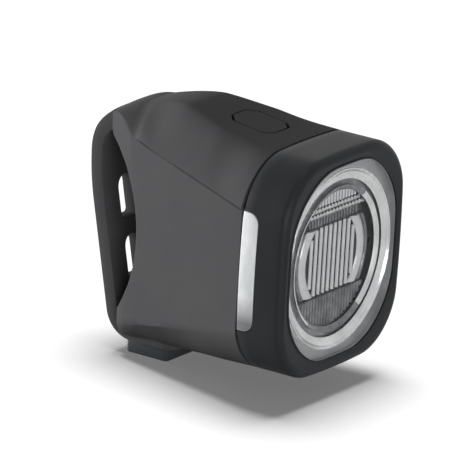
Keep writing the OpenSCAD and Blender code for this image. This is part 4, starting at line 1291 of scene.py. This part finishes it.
class FacetTree(RowTree):
    """Small pyramids in staggered rows inside a circle."""

    def __init__(self) -> None:
        """Builds the tree."""
        super().__init__("facet_rows", ("Columns", "Rows"), ("Pitch", "Facet", "Middle", "Circle", "Depth"))
        tree, given, calc = self.tree, self.given, self.calc
        wide = calc("MULTIPLY", given["Pitch"], calc("SUBTRACT", given["Columns"], 1.0))
        tall = calc("MULTIPLY", given["Pitch"], calc("SUBTRACT", given["Rows"], 1.0))
        sheet = add(tree, "GeometryNodeMeshGrid", {
            "Size X": wide, "Size Y": tall, "Vertices X": given["Columns"], "Vertices Y": given["Rows"]})
        place = add(tree, "ShaderNodeSeparateXYZ", {0: add(tree, "GeometryNodeInputPosition").outputs[0]})
        row_number = calc("ROUND", calc("DIVIDE", place.outputs["Y"], given["Pitch"]))
        shift = calc("MULTIPLY", calc("PINGPONG", row_number, 1.0), calc("MULTIPLY", given["Pitch"], 0.5))
        x = calc("ADD", place.outputs["X"], shift)
        z = calc("ADD", place.outputs["Y"], given["Middle"])
        spot = add(tree, "ShaderNodeCombineXYZ", {"X": x, "Y": given["Depth"], "Z": z})
        moved = add(tree, "GeometryNodeSetPosition", {"Geometry": sheet.outputs[0], "Position": spot.outputs[0]})
        reach = calc("ADD", calc("MULTIPLY", place.outputs["X"], place.outputs["X"]),
                     calc("MULTIPLY", place.outputs["Z"], place.outputs["Z"]))
        inside = add(tree, "FunctionNodeCompare", {
            "data_type": "FLOAT", "operation": "LESS_THAN", 0: reach,
            1: calc("MULTIPLY", given["Circle"], given["Circle"])})
        cone = add(tree, "GeometryNodeMeshCone", {
            "Vertices": 4, "Radius Top": 0.0, "Radius Bottom": given["Facet"], "Depth": given["Facet"]})
        aimed = add(tree, "GeometryNodeTransform", {"Geometry": cone.outputs[0], "Rotation": (math.pi / 2, 0, 0)})
        stamped = add(tree, "GeometryNodeInstanceOnPoints", {
            "Points": moved.outputs[0], "Selection": inside.outputs[0], "Instance": aimed.outputs[0]})
        self.close(stamped)


@dataclass
class OpticForm:
    """Moulded optic behind the cover lens: silver ring, groove in painted shade, fluted middle in painted light and
    painted shade, and facets.
    """

    radius: float = 17.3
    ring_y: float = 1.15
    floor_y: float = 2.9
    back_y: float = 3.6
    ring_in: float = 0.15
    ring_dish: float = 0.45
    ridges: tuple[Point2, ...] = ((16.55, 0.13), (17.05, 0.1))
    ridge_h: float = 0.2
    groove: Point2 = (13.9, 14.95)
    groove_depth: float = 1.2
    strip_r: float = 12.9
    strip_turn: float = 52.0
    patch_r: float = 8.2
    patch_z: Point2 = (-6.3, 6.5)
    pitch: float = 1.5
    fine_pitch: float = 0.95
    turns: int = 240

    def profile(self, r: float, a: float) -> tuple[float, Finish]:
        """Depth and finish of the optic's face.

        Args:
            r: Distance from the axis.
            a: Angle from +X, in degrees.

        Returns:
            Depth and finish.
        """
        lean = abs(math.degrees(math.asin(math.sin(math.radians(a)))))
        if r >= self.groove[1]:
            t = (r - self.groove[1]) / (self.radius - self.groove[1])
            ridge = self.ridge_h * sum(math.exp(-((r - at) / width) ** 2) for at, width in self.ridges)
            return self.ring_y + self.ring_dish * (1 - t) ** 2 + self.ring_in - ridge, MIRROR
        # The groove is painted shade: nearly black at its outer edge and grey across its floor
        if r >= self.groove[0]:
            return self.ring_y + self.groove_depth, DEEP_PAINTED_SHADE if r > self.groove[1] - 0.02 else GREY_PAINTED_SHADE
        # The strip is mirror at its sides and grey painted shade above and below them
        if r >= self.strip_r:
            t = (r - self.strip_r) / (self.groove[0] - self.strip_r)
            depth = mix(self.floor_y - 0.9, self.ring_y + 0.35, math.sin(t * math.pi / 2))
            return depth, MIRROR if lean < self.strip_turn else GREY_PAINTED_SHADE
        # The floor behind the flutes is painted nearly black, as shade in their gaps
        return self.floor_y, DEEP_PAINTED_SHADE

    def build_disc(self) -> bpy.types.Object:
        """Turned face of the optic, with a finish for each zone, the groove, the strip's top and bottom and the floor
        in painted shade.
        """
        n = self.turns
        g0, g1 = self.groove
        strip, ring = np.linspace(self.strip_r, g0 - 0.02, 9), np.linspace(g1, self.radius - 0.02, 46)
        middle = (0.0, 4.0, 8.0, self.strip_r - 0.01)
        radii = sorted({*middle, *strip.round(3), g0, g1 - 0.01, *ring.round(3), self.radius})
        finishes = [MIRROR, DEEP_PAINTED_SHADE, GREY_PAINTED_SHADE]
        turns = [2 * math.pi * i / n for i in range(n)]
        points = [(r * math.cos(a), self.profile(r + 1e-6, math.degrees(a))[0], r * math.sin(a))
                  for r in radii for a in turns]
        rim = len(points)
        points += [(self.radius * math.cos(a), self.back_y, self.radius * math.sin(a)) for a in turns]
        faces, zones = [], []
        for k, r in enumerate(radii):
            last = k == len(radii) - 1
            outer = rim if last else (k + 1) * n
            halfway = r if last else (r + radii[k + 1]) / 2
            for i in range(n):
                j = (i + 1) % n
                faces.append([k * n + i, k * n + j, outer + j, outer + i])
                zones.append(finishes.index(self.profile(halfway, 360 * (i + 0.5) / n)[1]))
        mesh = bpy.data.meshes.new("optic_face")
        mesh.from_pydata(points, [], faces)
        mesh.polygons.foreach_set("material_index", zones)
        work = bmesh.new()
        work.from_mesh(mesh)
        bmesh.ops.remove_doubles(work, verts=work.verts, dist=1e-4)
        bmesh.ops.holes_fill(work, edges=[e for e in work.edges if len(e.link_faces) == 1], sides=0)
        bmesh.ops.recalc_face_normals(work, faces=work.faces)
        work.to_mesh(mesh)
        work.free()
        return placed(mesh.name, finished(mesh, finishes, 32))

    def build_band(self, name: str, inner: float, outer: float, bulge: float, finish: Finish) -> bpy.types.Object:
        """Pair of curved bands left and right of the flutes, cut off level with them; the light band is painted light
        and the grey band painted shade.

        Args:
            name: Name of the piece.
            inner: Inner radius.
            outer: Outer radius.
            bulge: How far the band's middle stands forward.
            finish: Its finish.

        Returns:
            The piece.
        """
        tall, wide = 44, 12
        points: list[Point3] = []
        faces: list[list[int]] = []
        for side in (-1, 1):
            base = len(points)
            for i in range(tall + 1):
                z = mix(self.patch_z[0], self.patch_z[1], i / tall)
                x0, x1 = math.sqrt(inner ** 2 - z ** 2), math.sqrt(outer ** 2 - z ** 2)
                for j in range(wide + 1):
                    t = j / wide
                    y = self.floor_y - 0.15 - bulge * math.sin(math.pi * t) ** 0.7
                    points.append((side * mix(x0, x1, t), y, z))
                points += [(side * x, self.floor_y + 0.3, z) for x in (x1, x0)]
            row_len = wide + 3
            for i in range(tall):
                for j in range(row_len):
                    a, b = base + i * row_len + j, base + i * row_len + (j + 1) % row_len
                    faces.append([a, b, b + row_len, a + row_len])
            faces.append([base + j for j in range(row_len)])
            faces.append([base + tall * row_len + j for j in range(row_len)])
        return Solid(points, faces).piece(name, finish, 40)

    def build_details(self) -> list[bpy.types.Object]:
        """Main flutes in painted light, bands beside them in painted light and painted shade, fine flutes under them in
        painted shade and facets over them.
        """
        flutes, facets = FluteTree(), FacetTree()
        inner, fine, far = self.strip_r + 0.7, self.fine_pitch, 30.0
        low, high = self.patch_z
        front, floor, back = self.floor_y - 0.1, self.floor_y, self.floor_y + 0.1

        def bars(name: str, count: int, pitch: float, share: float, ends: Point2, circle: float, depth: float,
                 finish: Finish) -> bpy.types.Object:
            """Row of flutes whose bars have a share of the pitch as radius."""
            return flutes.build(name, {
                "Count": count, "Pitch": pitch, "Bar radius": pitch * share, "Low": ends[0], "High": ends[1],
                "Circle": circle, "Depth": depth, "Material": finish.material()})

        # Near-white flutes, strokes and band are painted light; grey flutes and band are painted shade
        return [
            bars("optic_flutes", 10, self.pitch, 0.235, (low, high), self.patch_r, front, FLUTE_PAINTED_LIGHT),
            bars("optic_fine_flutes", 27, fine, 0.34, (-far, low - 0.6), inner, floor, GREY_PAINTED_SHADE),
            bars("optic_upper_flutes", 17, fine, 0.3, (high + 0.4, 8.4), inner, back, GREY_PAINTED_SHADE),
            facets.build("optic_facets", {
                "Columns": 19, "Rows": 2, "Pitch": 1.05, "Facet": 0.52, "Middle": 9.4, "Circle": inner,
                "Depth": front, "Material": MIRROR.material()}),
            bars("optic_strokes", 17, fine, 0.27, (10.6, far), inner, front, FLUTE_PAINTED_LIGHT),
            self.build_band("optic_painted_light_band", self.patch_r + 0.25, 10.6, 0.5, FLUTE_PAINTED_LIGHT),
            self.build_band("optic_painted_shade_band", 10.85, 11.7, 0.25, GREY_PAINTED_SHADE),
        ]


class FloorLink(Enum):
    """Whether a lamp leaves the floor out or lights it alone."""

    ALONE = "INCLUDE"
    LEFT_OUT = "EXCLUDE"


class LampKind(Enum):
    """Kinds of lamp: a square near the object, or an even light from afar."""

    PANEL = "AREA"
    SKY = "SUN"


@dataclass(frozen=True)
class Lamp:
    """Soft lamp: its place and width in millimetres, and its power in watts, or in W/m2 for an even light."""

    name: str
    kind: LampKind
    place: Point3
    size: float
    power: float
    link: FloorLink


@dataclass
class Studio:
    """Camera, pale floor and soft lights."""

    azimuth: float = -56.29
    elevation: float = 17.67
    roll: float = 3.37
    distance: float = 1337.0
    focal_px: float = 7310.58
    image_px: float = 475.0
    aim_px: Point2 = (343.61, 260.03)
    floor_z: float = -26.42
    floor_size: float = 800.0
    floor_glow: float = 0.15
    floor_tones: Point2 = (0.3, 0.93)
    soft_light: float = 0.06
    lamps: tuple[Lamp, ...] = (
        Lamp("side", LampKind.PANEL, (-118.0, 660.0, -4.0), 380.0, 15.0, FloorLink.LEFT_OUT),
        Lamp("front", LampKind.PANEL, (-440.0, -500.0, 0.0), 460.0, 5.6, FloorLink.LEFT_OUT),
        Lamp("top", LampKind.PANEL, (40.0, 0.0, 690.0), 300.0, 0.8, FloorLink.LEFT_OUT),
        Lamp("paper", LampKind.SKY, (84.0, 100.0, 690.0), 430.0, 2.95, FloorLink.ALONE),
    )

    def build_camera(self) -> None:
        """Camera at the photograph's viewing angle."""
        az, el, roll = (math.radians(v) for v in (self.azimuth, self.elevation, self.roll))
        back = Vector((math.sin(az) * math.cos(el), -math.cos(az) * math.cos(el), math.sin(el)))
        right = Vector((math.cos(az), math.sin(az), 0))
        up = back.cross(right)
        side = right * math.cos(roll) + up * math.sin(roll)
        top = -right * math.sin(roll) + up * math.cos(roll)
        per_px = self.distance / self.focal_px
        middle = self.image_px / 2
        across, down = ((v - middle) * per_px for v in self.aim_px)
        place = back * self.distance - side * across + top * down
        lens = bpy.data.cameras.new("camera")
        lens.lens = lens.sensor_width * self.focal_px / self.image_px
        camera = placed("camera", lens)
        turn = Matrix((side, top, back)).transposed().to_4x4()
        camera.matrix_world = Matrix.Translation(row(*place)) @ turn
        bpy.context.scene.camera = camera

    @staticmethod
    def seen(tree: bpy.types.NodeTree) -> bpy.types.NodeSocket:
        """Value that is 1 for rays from the camera, from gloss and through glass, and 0 for light on the object."""
        path = add(tree, "ShaderNodeLightPath").outputs
        found = path["Is Camera Ray"]
        for kind in ("Is Glossy Ray", "Is Transmission Ray"):
            found = add(tree, "ShaderNodeMath", {"operation": "MAXIMUM", 0: found, 1: path[kind]}).outputs[0]
        return found

    def build_floor(self) -> None:
        """Pale floor that the camera sees as white where no shadow falls."""
        size = self.floor_size / 1000
        z = row(0, 0, self.floor_z).z
        mesh = bpy.data.meshes.new("floor")
        mesh.from_pydata([(-size, -size, z), (size, -size, z), (size, size, z), (-size, size, z)], [], [[0, 1, 2, 3]])
        made = bpy.data.materials.new("floor_paper")
        made.use_nodes = True
        tree = made.node_tree
        tree.nodes.clear()
        seen = self.seen(tree)
        lift = add(tree, "ShaderNodeMath", {"operation": "MULTIPLY", 0: seen, 1: self.floor_glow})
        tone = add(tree, "ShaderNodeMix", {"data_type": "RGBA", 0: seen})
        for socket, level in zip((6, 7), self.floor_tones):
            tone.inputs[socket].default_value = (level, level, level, 1)
        paper = add(tree, "ShaderNodeBsdfDiffuse", {"Color": tone.outputs[2]})
        glow = add(tree, "ShaderNodeEmission", {"Strength": lift.outputs[0]})
        both = add(tree, "ShaderNodeAddShader", {0: paper.outputs[0], 1: glow.outputs[0]})
        add(tree, "ShaderNodeOutputMaterial", {"Surface": both.outputs[0]})
        mesh.materials.append(made)
        floor = placed("floor", mesh)
        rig.stage(floor)

    def build_world(self) -> None:
        """World that is white to the camera and to gloss, and a plain soft light otherwise."""
        world = bpy.data.worlds.new("studio")
        bpy.context.scene.world = world
        world.use_nodes = True
        tree = world.node_tree
        tree.nodes.clear()
        seen = self.seen(tree)
        strength = add(tree, "ShaderNodeMapRange", {"Value": seen, "To Min": self.soft_light, "To Max": 1.0})
        sky = add(tree, "ShaderNodeBackground", {"Color": (1, 1, 1, 1), "Strength": strength.outputs[0]})
        add(tree, "ShaderNodeOutputWorld", {"Surface": sky.outputs[0]})

    def build_lights(self) -> None:
        """Soft lamps for the object from the rear right, the front and above, and one that lights the floor alone."""
        groups = {}
        for link in FloorLink:
            groups[link] = bpy.data.collections.new(f"floor_{link.value.lower()}")
            groups[link].objects.link(bpy.data.objects["floor"])
            groups[link].collection_objects[0].light_linking.link_state = link.value
        aim = row(0, 28, 0)
        for lamp in self.lamps:
            light = bpy.data.lights.new(lamp.name, lamp.kind.value)
            light.energy = lamp.power
            if lamp.kind is LampKind.SKY:
                light.angle = 2 * math.atan2(lamp.size / 2, lamp.place[2])
            else:
                light.size = lamp.size / 1000
            obj = placed(lamp.name, light)
            spot = row(*lamp.place)
            obj.matrix_world = Matrix.Translation(spot) @ (spot - aim).to_track_quat("Z", "Y").to_matrix().to_4x4()
            obj.light_linking.receiver_collection = groups[lamp.link]

    def build(self) -> None:
        """Builds the whole studio."""
        self.build_camera()
        self.build_floor()
        self.build_world()
        self.build_lights()
        bpy.context.scene.view_settings.view_transform = "Standard"


def settle(piece: bpy.types.Object, body: Body, slot: str, *nodes: str) -> None:
    """Puts a piece on its body, in its slot and in the place of its solids, and reports it.

    Args:
        piece: The finished piece.
        body: Body that it rides on.
        slot: Material slot of the record.
        nodes: Solids that it stands for.
    """
    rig.ride(piece, body.value)
    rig.slot(piece, slot)
    if nodes:
        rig.replaces(piece, *nodes)
    log.info("%s: %d faces on %s", piece.name, len(piece.data.polygons), body.value)


def dress_solids() -> None:
    """Gives the solids that stay in the scene their finishes."""
    for node, finish in CAD_FINISHES.items():
        solid = frame["nodes"][node]
        solid.data.materials.clear()
        solid.data.materials.append(finish.material())
        log.info("%s: %s", node, finish.name)


def main() -> None:
    """Builds the studio and every piece in order."""
    logging.basicConfig(level=logging.INFO, format="%(message)s")
    Studio().build()
    dress_solids()
    bezel, jacket, hook, optic = BezelForm(), JacketForm(), HookForm(), OpticForm()
    settle(bezel.build_ring(), Body.LIGHT, "bezel_black", "front_bezel")
    settle(bezel.build_lens(), Body.LIGHT, "clear_lens", "cover_lens")
    settle(bezel.build_window(-1, "window_right"), Body.LIGHT, "clear_window", "side_window_right")
    settle(bezel.build_window(1, "window_left"), Body.LIGHT, "clear_window", "side_window_left")
    settle(bezel.build_frame(optic.radius + 0.02), Body.LIGHT, "mirror_coat")
    settle(optic.build_disc(), Body.LIGHT, "clear_optic", "optic_lens")
    for detail in optic.build_details():
        settle(detail, Body.LIGHT, "clear_optic")
    settle(jacket.build_jacket(hook), Body.LIGHT, "silicone_black", "silicone_jacket")
    settle(jacket.build_button(), Body.BUTTON, "silicone_black", "mode_button")
    settle(jacket.build_cover(), Body.COVER, "silicone_black", "port_cover")
    settle(hook.build(), Body.LIGHT, "shell_black", "strap_hook")
    strap = jacket.strap.build(jacket.seam_y - 0.02, hook.neck_y, (hook.neck_w + 1.6, hook.neck_len + 3))
    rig.slot(strap, "silicone_black")
    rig.replaces(strap, "strap_band", "strap_end")
    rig.blend(strap, Body.LIGHT.value, Body.STRAP.value, row(0, 48.1, 15.9), row(0, 53.3, 12.0))
    log.info("%s: %d faces between light and strap", strap.name, len(strap.data.polygons))
    bpy.context.view_layer.update()
    sizes = {"cad": [list(p) for p in cad_box], "visual": [list(p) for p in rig.bounds()]}
    with open("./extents.json", "w", encoding="utf-8") as out:
        json.dump(sizes, out)


if __name__ == "__main__":
    main()
